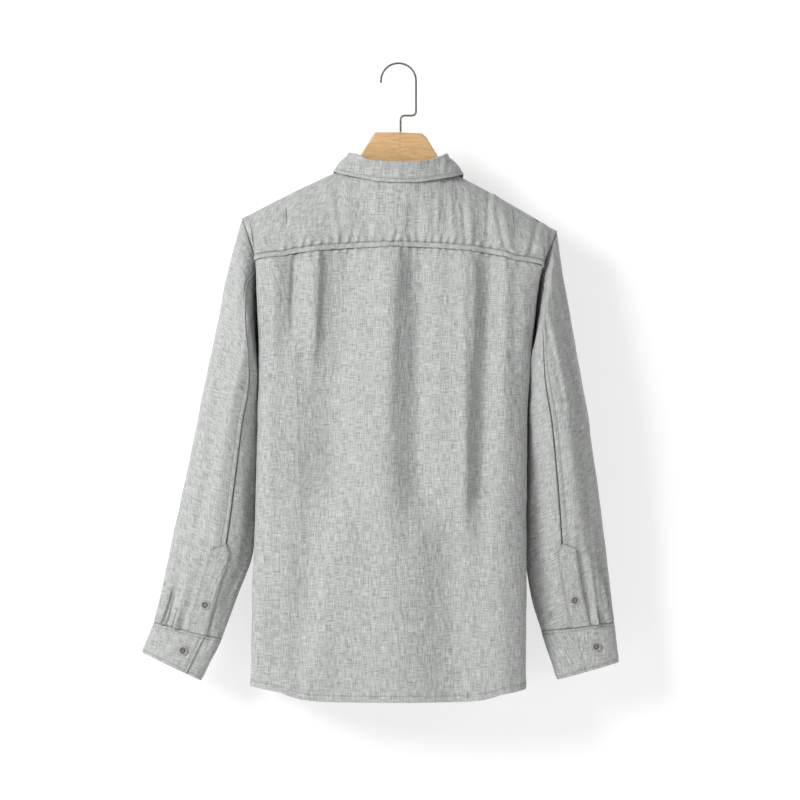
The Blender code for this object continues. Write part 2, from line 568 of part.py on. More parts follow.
def stand(side, angle, up):
    """The collar stand, up 0 at the neckline and 1 at its top."""
    low = neckline(side, angle)
    bulge = unit(points(low[..., 0], low[..., 1], 0)) * (0.008 * up * (1 - up))[..., None]
    return mix(low, collar_curve(side, "top", angle), up[..., None]) + bulge + collar_tuck(side, angle)


def leaf(side, angle, down):
    """The collar leaf's outer face, down 0 at the stand's top, over the fold, to 1 at its lower edge."""
    angle, down = np.broadcast_arrays(np.asarray(angle, float), np.asarray(down, float))
    top, edge = collar_curve(side, "top", angle), collar_curve(side, "edge", angle)
    outward = unit(points(top[..., 0], top[..., 1] - 0.004, 0))
    fold_end = LEAF_ROLL["down"][-1]
    fall = np.clip((down - fold_end) / (1 - fold_end), 0, 1)
    out = smooth(LEAF_ROLL, "down", "out", down)
    above = smooth(LEAF_ROLL, "down", "above", down)
    rolled = top + outward * out[..., None] + points(0, 0, above)
    lowered = edge - top - outward * LEAF_ROLL["out"][-1]
    belly = outward * (0.0022 * np.sin(math.pi * fall))[..., None]
    return rolled + lowered * fall[..., None] + belly + collar_tuck(side, angle)


# ---- walls ------------------------------------------------------------------------------------


class Cloth:
    """One cloth piece: the points and quads of its outer face, made of grids that share edges."""

    def __init__(self, name, grids, outward, thick=CLOTH, finish="linen"):
        corners = np.concatenate([grid.reshape(-1, 3) for grid in grids])
        rounded = np.round(corners, 6) + 0.0
        _, first, place = np.unique(rounded, axis=0, return_index=True, return_inverse=True)
        place = place.ravel()
        quads = []
        start = 0
        for grid in grids:
            rows, columns = grid.shape[:2]
            index = place[start : start + rows * columns].reshape(rows, columns)
            start += rows * columns
            around = [index[:-1, :-1], index[:-1, 1:], index[1:, 1:], index[1:, :-1]]
            quads.append(np.stack(around, -1).reshape(-1, 4))
        self.name, self.thick, self.finish = name, thick, finish
        self.points, self.quads = corners[first], np.concatenate(quads)
        middle = place[(grids[0].shape[0] // 2) * grids[0].shape[1] + grids[0].shape[1] // 2]
        self.normals = self.vertex_normals()
        if self.normals[middle] @ np.array(outward) < 0:
            self.quads = self.quads[:, ::-1]
            self.normals = -self.normals
        self.inward = -self.normals
        self.gap = np.zeros(len(self.points))
        centres = self.points[self.quads].mean(axis=1)
        into, around = np.zeros_like(self.points), np.zeros(len(self.points))
        for i in range(4):
            np.add.at(into, self.quads[:, i], centres)
            np.add.at(around, self.quads[:, i], 1)
        self.into = unit(into / around[:, None] - self.points)

    def vertex_normals(self):
        a, b, c, d = (self.points[self.quads[:, i]] for i in range(4))
        faces = np.cross(c - a, d - b)
        normals = np.zeros_like(self.points)
        for i in range(4):
            np.add.at(normals, self.quads[:, i], faces)
        return unit(normals)

    def rim(self):
        """The directed edges that only one quad uses."""
        edges = np.concatenate([self.quads[:, [i, (i + 1) % 4]] for i in range(4)])
        known = {tuple(edge) for edge in edges}
        return np.array([edge for edge in edges if (edge[1], edge[0]) not in known])

    def open_seams(self):
        """Draws the rim back by half a seam gap wherever another piece meets it."""
        moved = np.zeros_like(self.points)
        for start, end in self.rim():
            run = unit(self.points[end] - self.points[start])
            for corner in (start, end):
                inside = unit(np.cross(self.normals[corner], run))
                across = unit(np.cross(self.inward[corner], run))
                share = 0.5 * self.gap[corner] / max(abs(inside @ across), 0.4)
                if np.linalg.norm(moved[corner]) > 0 and unit(moved[corner]) @ inside > 0.7:
                    continue
                moved[corner] += inside * share
        self.points = self.points + moved

    def build(self):
        count = len(self.points)
        inner = self.points + self.inward * self.thick
        outer_quads = [tuple(int(i) for i in quad) for quad in self.quads]
        inner_quads = [tuple(i + count for i in reversed(quad)) for quad in outer_quads]
        sides = [(int(b), int(a), int(a) + count, int(b) + count) for a, b in self.rim()]
        mesh = bpy.data.meshes.new(self.name)
        vertices = [tuple(corner) for corner in np.concatenate([self.points, inner])]
        mesh.from_pydata(vertices, [], outer_quads + inner_quads + sides)
        mesh.shade_smooth()
        return add_object(self.name, mesh, self.finish)


def share_seams(pieces):
    """Gives pieces that meet at a point a gap, and one inward way there unless they meet in a valley."""
    met = {}
    for piece in pieces:
        for i, place in enumerate(np.round(piece.points, 6) + 0.0):
            met.setdefault(tuple(place), []).append((piece, i))
    for group in met.values():
        if len({piece.name for piece, _ in group}) < 2:
            continue
        for piece, i in group:
            way = piece.normals[i].copy()
            for other, j in group:
                falls = piece.into[i] @ other.normals[j], other.into[j] @ piece.normals[i]
                valley = max(float(fall) for fall in falls)
                if other is not piece:
                    way = way + other.normals[j] * (1 - ease(0.10, 0.50, valley))
            way = unit(way)
            piece.inward[i] = -way / max(float(way @ piece.normals[i]), 0.6)
            piece.gap[i] = SEAM_GAP


# ---- objects ----------------------------------------------------------------------------------


def material(name, colour, roughness, metallic=0.0):
    made = bpy.data.materials.new(name)
    made.use_nodes = True
    shader = made.node_tree.nodes["Principled BSDF"]
    shader.inputs["Base Color"].default_value = (*colour, 1.0)
    shader.inputs["Roughness"].default_value = roughness
    shader.inputs["Metallic"].default_value = metallic
    return made


def add_object(name, mesh, finish):
    """Links a mesh as one named object with a material of its own."""
    colour, roughness, metallic = {
        "linen": (LINEN, 0.92, 0.0),
        "button": (BUTTON_GREY, 0.40, 0.0),
        "wood": (BEECH, 0.50, 0.0),
        "steel": (STEEL, 0.30, 1.0),
    }[finish]
    mesh.materials.append(material(name + "_" + finish, colour, roughness, metallic))
    thing = bpy.data.objects.new(name, mesh)
    bpy.context.scene.collection.objects.link(thing)
    return thing


def both_sides(surface, columns, steps):
    """A grid across the body, with columns from the left, below 0, to the right, above 0."""
    step, column = np.meshgrid(steps, columns, indexing="ij")
    left, right = surface(LEFT, -column, step), surface(RIGHT, column, step)
    return np.where((column < 0)[..., None], left, right)


def chain(*runs):
    """One list of numbers from runs of (start, end, spans) that follow each other."""
    parts = [np.linspace(start, end, spans + 1) for start, end, spans in runs]
    return np.concatenate([parts[0]] + [part[1:] for part in parts[1:]])


def mirror(half):
    return np.concatenate([-half[:0:-1], half])


def past_centre(side, row):
    """The column of the front at which it ends beyond the centre front."""
    column = np.full_like(row, -0.06)
    for _ in range(8):
        x = side * front(side, column, row)[..., 0]
        column = column * BAND_HALF_WIDTH / -x
    return column


HALF_COLUMNS = chain((0, NECK_COLUMN, NECK_SPANS), (NECK_COLUMN, 1, SIDE_SPANS))
SIDE_COLUMNS = HALF_COLUMNS[NECK_SPANS:]
BACK_ROWS = chain((0, ARMHOLE_SHARE, DOWN_BACK), (ARMHOLE_SHARE, 1, BELOW_UNDERARM))
FRONT_ROWS = chain((0, ARMHOLE_SHARE, UP_FRONT), (ARMHOLE_SHARE, 1, BELOW_UNDERARM))


def back_panel():
    return Cloth("back_panel", [both_sides(back, mirror(HALF_COLUMNS), BACK_ROWS)], (0, -1, 0))


def back_yoke():
    """The yoke, which runs over both shoulders to its front seams."""
    grids = [both_sides(yoke_behind, mirror(HALF_COLUMNS), chain((0, 1, OVER_BACK)))]
    for side in (LEFT, RIGHT):
        down, column = np.meshgrid(chain((0, 1, OVER_FRONT)), SIDE_COLUMNS, indexing="ij")
        grid = yoke_front(side, column, down)
        grids.append(grid[:, ::-1] if side == LEFT else grid)
    return Cloth("back_yoke", grids, (0, -1, 0))


def front_panel(side):
    row, column = np.meshgrid(FRONT_ROWS, HALF_COLUMNS, indexing="ij")
    column = np.concatenate([past_centre(side, FRONT_ROWS)[:, None], column], axis=1)
    row = np.concatenate([row[:, :1], row], axis=1)
    name = "front_left" if side == LEFT else "front_right"
    return Cloth(name, [front(side, column, row)], (0, 1, 0))


def sleeve_piece(side, name, first, last):
    """A part of the sleeve's round, between two of its spans."""
    turn, along = np.meshgrid(np.arange(first, last + 1) / ROUND_SLEEVE, ALONG_SLEEVE, indexing="ij")
    grid = sleeve(side, turn, along)
    axis = sleeve(side, np.arange(ROUND_SLEEVE) / ROUND_SLEEVE, 0.5).mean(axis=0)
    return Cloth(name, [grid], grid.mean(axis=(0, 1)) - axis)


def flatten_rim(piece, side, sign):
    """Keeps the wall at the cuff seam square to the sleeve, so that both edges lie in one plane."""
    last = {name: column[-1] for name, column in SLEEVE[side].items()}
    inner = points(side * last["inner_x"], 0.0, -last["inner_drop"])
    outer = points(side * last["outer_x"], 0.0, -last["outer_drop"])
    axis = unit(np.cross(outer - inner, np.array([0.0, 1.0, 0.0])))
    on_plane = np.abs((piece.points - inner) @ axis) < 1e-5
    flat = unit(piece.inward - (piece.inward @ axis)[:, None] * axis)
    piece.inward[on_plane] = flat[on_plane]
    away = axis if axis[2] * sign > 0 else -axis
    piece.points[on_plane] += away * SEAM_GAP * 0.6
    return piece


def cuff_piece(side):
    start, end = cuff_angles(side)
    down, angle = np.meshgrid(np.linspace(0, 1, 3), np.linspace(start, end, 41), indexing="ij")
    grid = cuff(side, angle, down)
    outward = grid[1, 20] - grid.mean(axis=(0, 1))
    return Cloth("cuff_left" if side == LEFT else "cuff_right", [grid], outward, STIFF_CLOTH)


def collar_stand():
    end = float(mix(180.0, FRONT_YOKE_ANGLE, past_centre(RIGHT, np.zeros(1))[0] / NECK_COLUMN))
    half = chain(
        (0, 90, NECK_SPANS),
        (90, FRONT_YOKE_ANGLE, OVER_FRONT),
        (FRONT_YOKE_ANGLE, 180, NECK_SPANS),
    )
    half = np.append(half, end)
    grid = both_sides(stand, mirror(half), np.linspace(0, 1, 4))
    return Cloth("collar_stand", [grid], (0, -1, 0), STIFF_CLOTH)


def collar_leaf():
    half = chain((0, 90, NECK_SPANS), (90, FRONT_YOKE_ANGLE, OVER_FRONT))
    half = np.append(half, chain((FRONT_YOKE_ANGLE, LEAF_END_ANGLE, NECK_SPANS - 1))[1:])
    down = np.append(LEAF_ROLL["down"], chain((LEAF_ROLL["down"][-1], 1, 4))[1:])
    return Cloth("collar_leaf", [both_sides(leaf, mirror(half), down)], (0, -1, 0), STIFF_CLOTH)


def lifted(surface, side, a, b, height):
    """Points above a surface, along its normal. The surface's normal is a's way crossed with b's."""
    step = 2e-3
    a, b = np.broadcast_arrays(np.asarray(a, float), np.asarray(b, float))
    along_a = surface(side, a + step, b) - surface(side, a - step, b)
    along_b = surface(side, a, np.minimum(b + step, 1)) - surface(side, a, np.maximum(b - step, 0))
    normal = unit(np.cross(along_a, along_b)) * np.asarray(height)[..., None]
    return surface(side, a, b) + normal, unit(normal)


def front_placket():
    """The buttonhole band, on top of the left front."""
    past = past_centre(LEFT, FRONT_ROWS)
    column = np.stack([past, np.zeros_like(past), -past], axis=1)
    row = np.repeat(FRONT_ROWS[:, None], 3, axis=1)
    row = np.maximum(row, PLACKET_TOP)
    grid, _ = lifted(front, LEFT, column, row, -(STIFF_CLOTH + 2 * LAY_GAP))
    return Cloth("front_placket", [grid], (0, 1, 0), STIFF_CLOTH)


def placket_turn(side, along, across):
    """The place round the sleeve that is so far across from its back seam, towards the underarm."""
    turns = BACK_SEAM_TURN + np.linspace(-0.16, 0.06, 89)
    line = sleeve(side, turns, along)
    length = np.concatenate([[0], np.cumsum(np.linalg.norm(np.diff(line, axis=0), axis=1))])
    return np.interp(across + np.interp(BACK_SEAM_TURN, turns, length), length, turns)


def placket_rows():
    """(along, the outer edge, the free edge) down a sleeve placket, with its point at the top."""
    tip = PLACKET_OVER - PLACKET_TIP * PLACKET_WIDTH
    rows = [(PLACKET_START, tip - 0.0008, tip + 0.0008)]
    for along in np.linspace(PLACKET_SHOULDER, 1 - 0.0008, 9):
        rows.append((along, PLACKET_OVER - PLACKET_WIDTH, PLACKET_OVER))
    return rows


def sleeve_placket(side):
    height = side * (CLOTH + PLACKET_LIFT)
    rows = []
    for along, low, high in placket_rows():
        turn = placket_turn(side, along, np.linspace(low, high, 5))
        rows.append(lifted(sleeve, side, turn, np.full(5, along), height)[0])
    name = "sleeve_placket_left" if side == LEFT else "sleeve_placket_right"
    return Cloth(name, [np.array(rows)], (side * 0.3, -1, 0))


def build_button(name, place, normal):
    """A round flat button whose underside stands a little off the cloth."""
    normal = unit(np.asarray(normal, float))
    mesh = bpy.data.meshes.new(name)
    side_way = unit(np.cross(normal, np.array([0.0, 0.3, 1.0])))
    other_way = np.cross(normal, side_way)
    corners = []
    profile = ((0.92, 0.0), (1.0, 0.45), (0.88, 1.0))
    for wide, high in profile:
        for step in range(12):
            turn = math.tau * step / 12
            spoke = side_way * math.cos(turn) + other_way * math.sin(turn)
            corners.append(tuple(place + spoke * BUTTON_RADIUS * wide + normal * BUTTON_THICK * high))
    faces = [tuple(range(11, -1, -1)), tuple(range(24, 36))]
    for ring_start in (0, 12):
        for step in range(12):
            low = (ring_start + step, ring_start + (step + 1) % 12)
            faces.append((*low, low[1] + 12, low[0] + 12))
    mesh.from_pydata(corners, [], faces)
    face_out(mesh)
    return add_object(name, mesh, "button")


def face_out(mesh):
    """Turns every face of a closed mesh outwards."""
    shell = bmesh.new()
    shell.from_mesh(mesh)
    bmesh.ops.recalc_face_normals(shell, faces=shell.faces)
    if shell.calc_volume(signed=True) < 0:
        bmesh.ops.reverse_faces(shell, faces=shell.faces)
    shell.to_mesh(mesh)
    shell.free()


def loft(name, rings, finish):
    """A solid through rings of points, closed flat at both ends."""
    rings = np.array(rings)
    count, around = rings.shape[:2]
    faces = [tuple(range(around)), tuple(range((count - 1) * around, count * around))[::-1]]
    for i in range(count - 1):
        for j in range(around):
            low = (i * around + j, i * around + (j + 1) % around)
            faces.append((*low, low[1] + around, low[0] + around))
    mesh = bpy.data.meshes.new(name)
    mesh.from_pydata([tuple(corner) for corner in rings.reshape(-1, 3)], [], faces)
    face_out(mesh)
    mesh.shade_smooth()
    return add_object(name, mesh, finish)


def build_arm(side):
    """One arm of the hanger, from the mitre at the middle down to the end inside the shoulder."""
    top_name = "top_left" if side == LEFT else "top_right"
    rows = list(zip(HANGER["out"], HANGER[top_name], HANGER["bottom"], HANGER["thick"]))
    end = 1 - ARM_END_INSET / (SHOULDER[side][0] - NECK_HALF_WIDTH)
    for share in (0.0, 0.12, 0.3, 0.5, 0.7, 0.85, end - 0.03, end):
        place = shoulder_line(side, np.array(share))
        top = -place[2] + ARM_CLEAR
        bottom = top + mix(ARM_DEPTH, ARM_TIP_DEPTH, share)
        thick = mix(HANGER["thick"][-1], ARM_TIP_THICK, share)
        if share == end:
            top, bottom, thick = top + 0.004, bottom - 0.004, thick * 0.7
        rows.append((side * place[0], top, bottom, thick))
    rings = []
    for out, top, bottom, thick in rows:
        x = JOINT_X + side * SEAM_GAP / 2 if out == 0 else side * out
        half, cut = thick / 2, ARM_CHAMFER
        inner = half - cut
        outline = ((-half, top + cut), (-inner, top), (inner, top), (half, top + cut))
        outline += ((half, bottom - cut), (inner, bottom), (-inner, bottom), (-half, bottom - cut))
        rings.append([(x, y, -drop) for y, drop in outline])
    return loft("hanger_arm_left" if side == LEFT else "hanger_arm_right", rings, "wood")


def bend(centre, radius, start, end, steps):
    """Points (x, z) on an arc, by angles in degrees from +X."""
    turns = np.radians(np.linspace(start, end, steps + 1))
    return [(centre[0] + radius * math.cos(turn), centre[1] + radius * math.sin(turn)) for turn in turns]


def build_hook():
    """The wire hook: an open arc, a straight side, two bends and the stem."""
    arc_centre = (0.0, WIRE_RADIUS - HOOK_RADIUS)
    leg = -STEM_LEG_DROP
    path = [(-HOOK_RADIUS, arc_centre[1] - 0.003)]
    path += bend(arc_centre, HOOK_RADIUS, 180, 0, 16)
    path += bend((HOOK_RADIUS - HOOK_BEND, leg + HOOK_BEND), HOOK_BEND, 0, -90, 4)
    path += bend((STEM_X + HOOK_BEND, leg - HOOK_BEND), HOOK_BEND, 90, 180, 4)
    path.append((STEM_X, -WOOD_TOP_DROP + SEAM_GAP))
    path = np.array([(x, 0.0, z) for x, z in path])
    ways = unit(np.gradient(path, axis=0))
    rings = []
    for place, way in zip(path, ways):
        in_plane = np.cross(way, np.array([0.0, 1.0, 0.0]))
        across = np.array([0.0, 1.0, 0.0])
        turns = np.arange(8) * math.tau / 8 + math.tau / 16
        spokes = [in_plane * math.cos(turn) + across * math.sin(turn) for turn in turns]
        rings.append([place + WIRE_RADIUS * spoke for spoke in spokes])
    return loft("hanger_hook", rings, "steel")


def build_buttons():
    out = CLOTH + PLACKET_LIFT + LAY_GAP
    for side, word in ((LEFT, "left"), (RIGHT, "right")):
        turn = placket_turn(side, PLACKET_BUTTON, PLACKET_OVER - PLACKET_WIDTH / 2)
        place, normal = lifted(sleeve, side, turn, PLACKET_BUTTON, np.array(side * out))
        build_button("sleeve_button_" + word, place, normal)
        angle = cuff_angles(side)[1] - CUFF_BUTTON_BACK[side]
        middle = cuff(side, angle, np.array(0.5))
        span = cuff(side, angle + 3, np.array(0.5)) - cuff(side, angle - 3, np.array(0.5))
        fall = cuff(side, angle, np.array(0.6)) - cuff(side, angle, np.array(0.4))
        normal = side * unit(np.cross(span, fall))
        build_button("cuff_button_" + word, middle + normal * LAY_GAP, normal)
    for number, row in enumerate(np.linspace(FIRST_BUTTON, LAST_BUTTON, FRONT_BUTTONS)):
        place, normal = lifted(front, LEFT, 0.0, row, -np.array(STIFF_CLOTH + 3 * LAY_GAP))
        build_button("front_button_" + str(number + 1), place, normal)
    place = stand(LEFT, np.array(180.0), np.array(0.5))
    build_button("collar_button", place + np.array([0, LAY_GAP + 0.0004, 0]), (0, 1, 0))


def main():
    for thing in list(bpy.data.objects):
        bpy.data.objects.remove(thing, do_unlink=True)
    seamed = [back_yoke(), back_panel(), front_panel(LEFT), front_panel(RIGHT), collar_stand()]
    seam_span = round(BACK_SEAM_TURN * ROUND_SLEEVE)
    under_span = round(UNDERARM_TURN * ROUND_SLEEVE)
    ends = []
    for side, word in ((LEFT, "left"), (RIGHT, "right")):
        ends.append((side, sleeve_piece(side, "sleeve_top_" + word, under_span, ROUND_SLEEVE + seam_span)))
        ends.append((side, sleeve_piece(side, "sleeve_under_" + word, seam_span, under_span)))
    seamed += [piece for _, piece in ends]
    share_seams(seamed)
    for piece in seamed:
        piece.open_seams()
    for side, piece in ends:
        flatten_rim(piece, side, 1)
    cuffs = [flatten_rim(cuff_piece(side), side, -1) for side in (LEFT, RIGHT)]
    loose = [collar_leaf(), front_placket(), sleeve_placket(LEFT), sleeve_placket(RIGHT)]
    for piece in seamed + cuffs + loose:
        piece.build()
    build_buttons()
    for side in (LEFT, RIGHT):
        build_arm(side)
    build_hook()


main()
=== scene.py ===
"""The looks of a long-sleeved linen shirt hanging on a wooden hanger, seen from its back.

Metres, +Z up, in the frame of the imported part: the origin is the inside top of the hanger's hook,
the shirt's back faces -Y and the wearer's left is at -X. "drop" is the distance below the origin.
"""

import math

import bpy
import numpy as np
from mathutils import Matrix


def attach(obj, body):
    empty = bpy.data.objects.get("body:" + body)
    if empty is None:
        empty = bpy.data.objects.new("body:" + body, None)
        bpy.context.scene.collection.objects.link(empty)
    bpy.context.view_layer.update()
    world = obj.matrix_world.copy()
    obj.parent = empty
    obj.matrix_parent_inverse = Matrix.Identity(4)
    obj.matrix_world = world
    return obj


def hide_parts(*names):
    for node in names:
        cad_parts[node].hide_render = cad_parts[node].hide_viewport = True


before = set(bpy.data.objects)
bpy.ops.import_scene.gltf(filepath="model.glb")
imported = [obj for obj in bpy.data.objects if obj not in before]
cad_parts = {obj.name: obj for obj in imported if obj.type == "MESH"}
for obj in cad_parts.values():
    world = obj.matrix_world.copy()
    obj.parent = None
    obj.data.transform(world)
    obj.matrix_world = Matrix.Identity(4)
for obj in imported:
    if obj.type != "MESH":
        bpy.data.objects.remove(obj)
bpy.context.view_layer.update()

CLOTH = 0.0010  # thickness of the linen with its turnings
STIFF_CLOTH = 0.0013  # of the doubled pieces: collar, bands and cuffs
SEAM_GAP = 0.0003
LAY_GAP = 0.0004  # under a piece that lies on another
UNDERLAP = 0.0022  # how far a lower layer lies below the one that overlaps it

LEFT, RIGHT = -1, 1


def table(names, *rows):
    """Named columns of a short table, with a row for each section or fold."""
    return {name: np.array(column, float) for name, column in zip(names.split(), zip(*rows))}


# ---- sizes: torso ------------------------------------------------------------------------------

# Half-sections of the body. left and right are its widest reach, at the depth "turn" from the side;
# back and front are the depths at its middle; the seam columns are where the armhole or side seam lies.
TORSO = table(
    "drop   left    right   back   front  turn   seam_left seam_right seam_back seam_front",
    (0.230, 0.2165, 0.2235, 0.045, 0.047, 0.028, 0.2160, 0.2230, 0.024, 0.020),
    (0.259, 0.2070, 0.2135, 0.048, 0.052, 0.034, 0.2062, 0.2125, 0.030, 0.026),
    (0.285, 0.2018, 0.2050, 0.051, 0.056, 0.038, 0.2015, 0.2050, 0.024, 0.022),
    (0.305, 0.2008, 0.2000, 0.054, 0.060, 0.040, 0.2012, 0.2006, 0.015, 0.016),
    (0.335, 0.2000, 0.1952, 0.059, 0.064, 0.040, 0.2010, 0.1962, 0.008, 0.009),
    (0.380, 0.1978, 0.1908, 0.065, 0.069, 0.040, 0.1995, 0.1920, 0.004, 0.005),
    (0.408, 0.1972, 0.1880, 0.068, 0.071, 0.040, 0.1990, 0.1892, 0.002, 0.003),
    (0.425, 0.1970, 0.1866, 0.070, 0.072, 0.040, 0.1988, 0.1880, 0.000, 0.000),
    (0.500, 0.1985, 0.1822, 0.074, 0.074, 0.040, 0.1960, 0.1800, 0.000, 0.000),
    (0.620, 0.2016, 0.1810, 0.074, 0.073, 0.040, 0.1985, 0.1780, 0.000, 0.000),
    (0.760, 0.2070, 0.1808, 0.071, 0.070, 0.040, 0.2040, 0.1778, 0.000, 0.000),
    (0.905, 0.2094, 0.1796, 0.068, 0.067, 0.040, 0.2066, 0.1768, 0.000, 0.000),
)
SECTION_POWER = 3.0  # of the superellipse that a half-section follows, 2 being an ellipse

# Edges that hang at another drop at the sides than at the middle, which they reach at the column "full".
YOKE_SEAM = {"centre": 0.259, LEFT: 0.281, RIGHT: 0.292, "power": 1.7, "full": 1.0, "round": 0}
HEM = {"centre": 0.9027, LEFT: 0.879, RIGHT: 0.883, "power": 5.5, "full": 0.86, "round": 1}
UNDERARM_DROP = 0.425
FRONT_YOKE_END = 0.031  # from the shoulder point down to the front yoke seam's outer end
ARMHOLE_SHARE = 0.23  # of a panel's rows, from its upper edge down to the underarm

# Spans of each grid between its seams. The pieces that meet along a seam use the same count there.
NECK_SPANS = 6
OVER_BACK, DOWN_BACK, UP_FRONT, OVER_FRONT = 8, 10, 9, 4
ROUND_SLEEVE = OVER_BACK + DOWN_BACK + UP_FRONT + OVER_FRONT

NECK_HALF_WIDTH = 0.074
NECK = {"back": 0.046, "front": 0.046, "centre_back": 0.164, "centre_front": 0.226}
NECK_SIDE = {LEFT: 0.1475, RIGHT: 0.1530}
NECK_COLUMN = 0.34  # the column of the panels that leads to the side of the neck
FRONT_YOKE_ANGLE = 112.0  # where the front yoke seam meets the neckline, in degrees from centre back
SHOULDER = {LEFT: (0.222, 0.2197), RIGHT: (0.225, 0.2380)}
SHOULDER_BOW = 0.0088

# Soft folds of the back, towards -Y where depth is above 0. The crest runs from top_x to low_x.
BACK_FOLDS = table(
    "top    low    top_x   low_x   wide_left wide_right depth",
    (0.250, 0.590, -0.062, -0.096, 0.052, 0.030, -0.0120),
    (0.540, 0.860, -0.086, -0.146, 0.044, 0.026, -0.0084),
    (0.262, 0.385, -0.141, -0.150, 0.012, 0.010, -0.0044),
    (0.262, 0.400, -0.120, -0.122, 0.010, 0.014, 0.0040),
    (0.262, 0.660, -0.014, -0.020, 0.034, 0.026, 0.0074),
    (0.262, 0.610, 0.033, 0.028, 0.020, 0.018, -0.0070),
    (0.262, 0.640, 0.102, 0.094, 0.034, 0.012, 0.0066),
    (0.262, 0.600, 0.130, 0.116, 0.012, 0.009, -0.0062),
    (0.262, 0.900, 0.152, 0.150, 0.016, 0.024, 0.0048),
    (0.640, 0.930, 0.010, 0.000, 0.050, 0.040, 0.0052),
    (0.660, 0.930, 0.074, 0.082, 0.024, 0.020, -0.0048),
)
# Folds of the front, which the photograph hides: plain ones like those of the back.
FRONT_FOLDS = table(
    "top    low    top_x   low_x   wide_left wide_right depth",
    (0.300, 0.760, -0.128, -0.116, 0.022, 0.028, -0.0080),
    (0.290, 0.900, -0.078, -0.070, 0.026, 0.020, 0.0060),
    (0.320, 0.820, 0.120, 0.108, 0.024, 0.020, -0.0075),
    (0.290, 0.900, 0.072, 0.066, 0.022, 0.026, 0.0060),
)
# Folds of the yoke's back, each a soft ridge above the seam.
YOKE_FOLDS = table(
    "top    low    top_x   low_x   wide_left wide_right depth",
    (0.200, 0.262, -0.134, -0.140, 0.011, 0.012, 0.0032),
    (0.190, 0.258, -0.073, -0.078, 0.008, 0.012, 0.0030),
    (0.196, 0.256, -0.008, -0.012, 0.011, 0.014, 0.0030),
    (0.190, 0.256, 0.044, 0.038, 0.012, 0.014, 0.0032),
    (0.200, 0.256, 0.104, 0.098, 0.010, 0.011, 0.0028),
    (0.200, 0.264, 0.154, 0.146, 0.010, 0.012, 0.0030),
)
FOLD_FADE = 0.045  # the length over which a fold dies away at its ends

# ---- sizes: sleeves ----------------------------------------------------------------------------

# Rings of each sleeve from the armhole, 0, to the cuff seam, 1. The outer point is under the shoulder, the
# inner one under the arm; back and front are the depths; seam is the angle of the back seam, in degrees;
# lean is how far the ring's middle leans towards the body.
SLEEVE = {
    LEFT: table(
        "along outer_x outer_drop inner_x inner_drop back   front  seam lean",
        (0.00, 0.2220, 0.2197, 0.1988, 0.4250, 0.040, 0.036, 66, 0.000),
        (0.05, 0.2310, 0.2500, 0.1985, 0.4310, 0.050, 0.046, 92, 0.003),
        (0.13, 0.2430, 0.2980, 0.1975, 0.4410, 0.058, 0.054, 110, 0.006),
        (0.23, 0.2563, 0.3631, 0.1972, 0.4590, 0.062, 0.060, 118, 0.007),
        (0.34, 0.2690, 0.4260, 0.1975, 0.4870, 0.064, 0.062, 117, 0.003),
        (0.45, 0.2810, 0.4850, 0.1985, 0.5310, 0.060, 0.060, 114, 0.000),
        (0.56, 0.2925, 0.5430, 0.1998, 0.5810, 0.055, 0.055, 111, 0.000),
        (0.67, 0.3055, 0.6040, 0.2015, 0.6340, 0.049, 0.049, 109, 0.000),
        (0.78, 0.3185, 0.6620, 0.2060, 0.6900, 0.042, 0.042, 108, 0.000),
        (0.89, 0.3325, 0.7290, 0.2290, 0.7560, 0.032, 0.032, 109, 0.000),
        (1.00, 0.3470, 0.7925, 0.2510, 0.8160, 0.021, 0.021, 112, 0.000),
    ),
    RIGHT: table(
        "along outer_x outer_drop inner_x inner_drop back   front  seam lean",
        (0.00, 0.2250, 0.2380, 0.1880, 0.4250, 0.040, 0.036, 66, 0.000),
        (0.05, 0.2285, 0.2640, 0.1865, 0.4320, 0.050, 0.046, 84, 0.004),
        (0.13, 0.2350, 0.3063, 0.1850, 0.4440, 0.058, 0.054, 98, 0.009),
        (0.23, 0.2450, 0.3631, 0.1836, 0.4640, 0.062, 0.060, 102, 0.006),
        (0.34, 0.2560, 0.4260, 0.1818, 0.4950, 0.064, 0.062, 100, 0.002),
        (0.45, 0.2660, 0.4850, 0.1810, 0.5390, 0.060, 0.060, 97, 0.000),
        (0.56, 0.2745, 0.5430, 0.1806, 0.5880, 0.055, 0.055, 95, 0.000),
        (0.67, 0.2835, 0.6040, 0.1803, 0.6400, 0.049, 0.049, 94, 0.000),
        (0.78, 0.2905, 0.6650, 0.1802, 0.6940, 0.042, 0.042, 93, 0.000),
        (0.89, 0.2985, 0.7290, 0.1880, 0.7540, 0.032, 0.032, 92, 0.000),
        (1.00, 0.3060, 0.7920, 0.2030, 0.8050, 0.021, 0.021, 91, 0.000),
    ),
}
RING_POWER = 2.3
ARMHOLE_BLEND = 0.06  # share of the sleeve over which the armhole's shape becomes a plain ring
ARMHOLE_SPREAD = 0.35  # share over which the places round the armhole become those round a ring
# Places round a ring, from the outer edge over the back to the underarm and up the front.
YOKE_END_TURN = OVER_BACK / ROUND_SLEEVE
BACK_SEAM_TURN = (OVER_BACK + 1) / ROUND_SLEEVE
UNDERARM_TURN = (OVER_BACK + DOWN_BACK) / ROUND_SLEEVE
FRONT_YOKE_END_TURN = 1 - OVER_FRONT / ROUND_SLEEVE
# The cuff's lower edge, as a ring like those above.
CUFF_EDGE = {
    LEFT: (0.3642, 0.8346, 0.2805, 0.8746, 0.019),
    RIGHT: (0.3127, 0.8487, 0.2254, 0.8735, 0.019),
}
CUFF_UNDERLAP = 34.0  # degrees of the ring over which the cuff's ends lie on each other
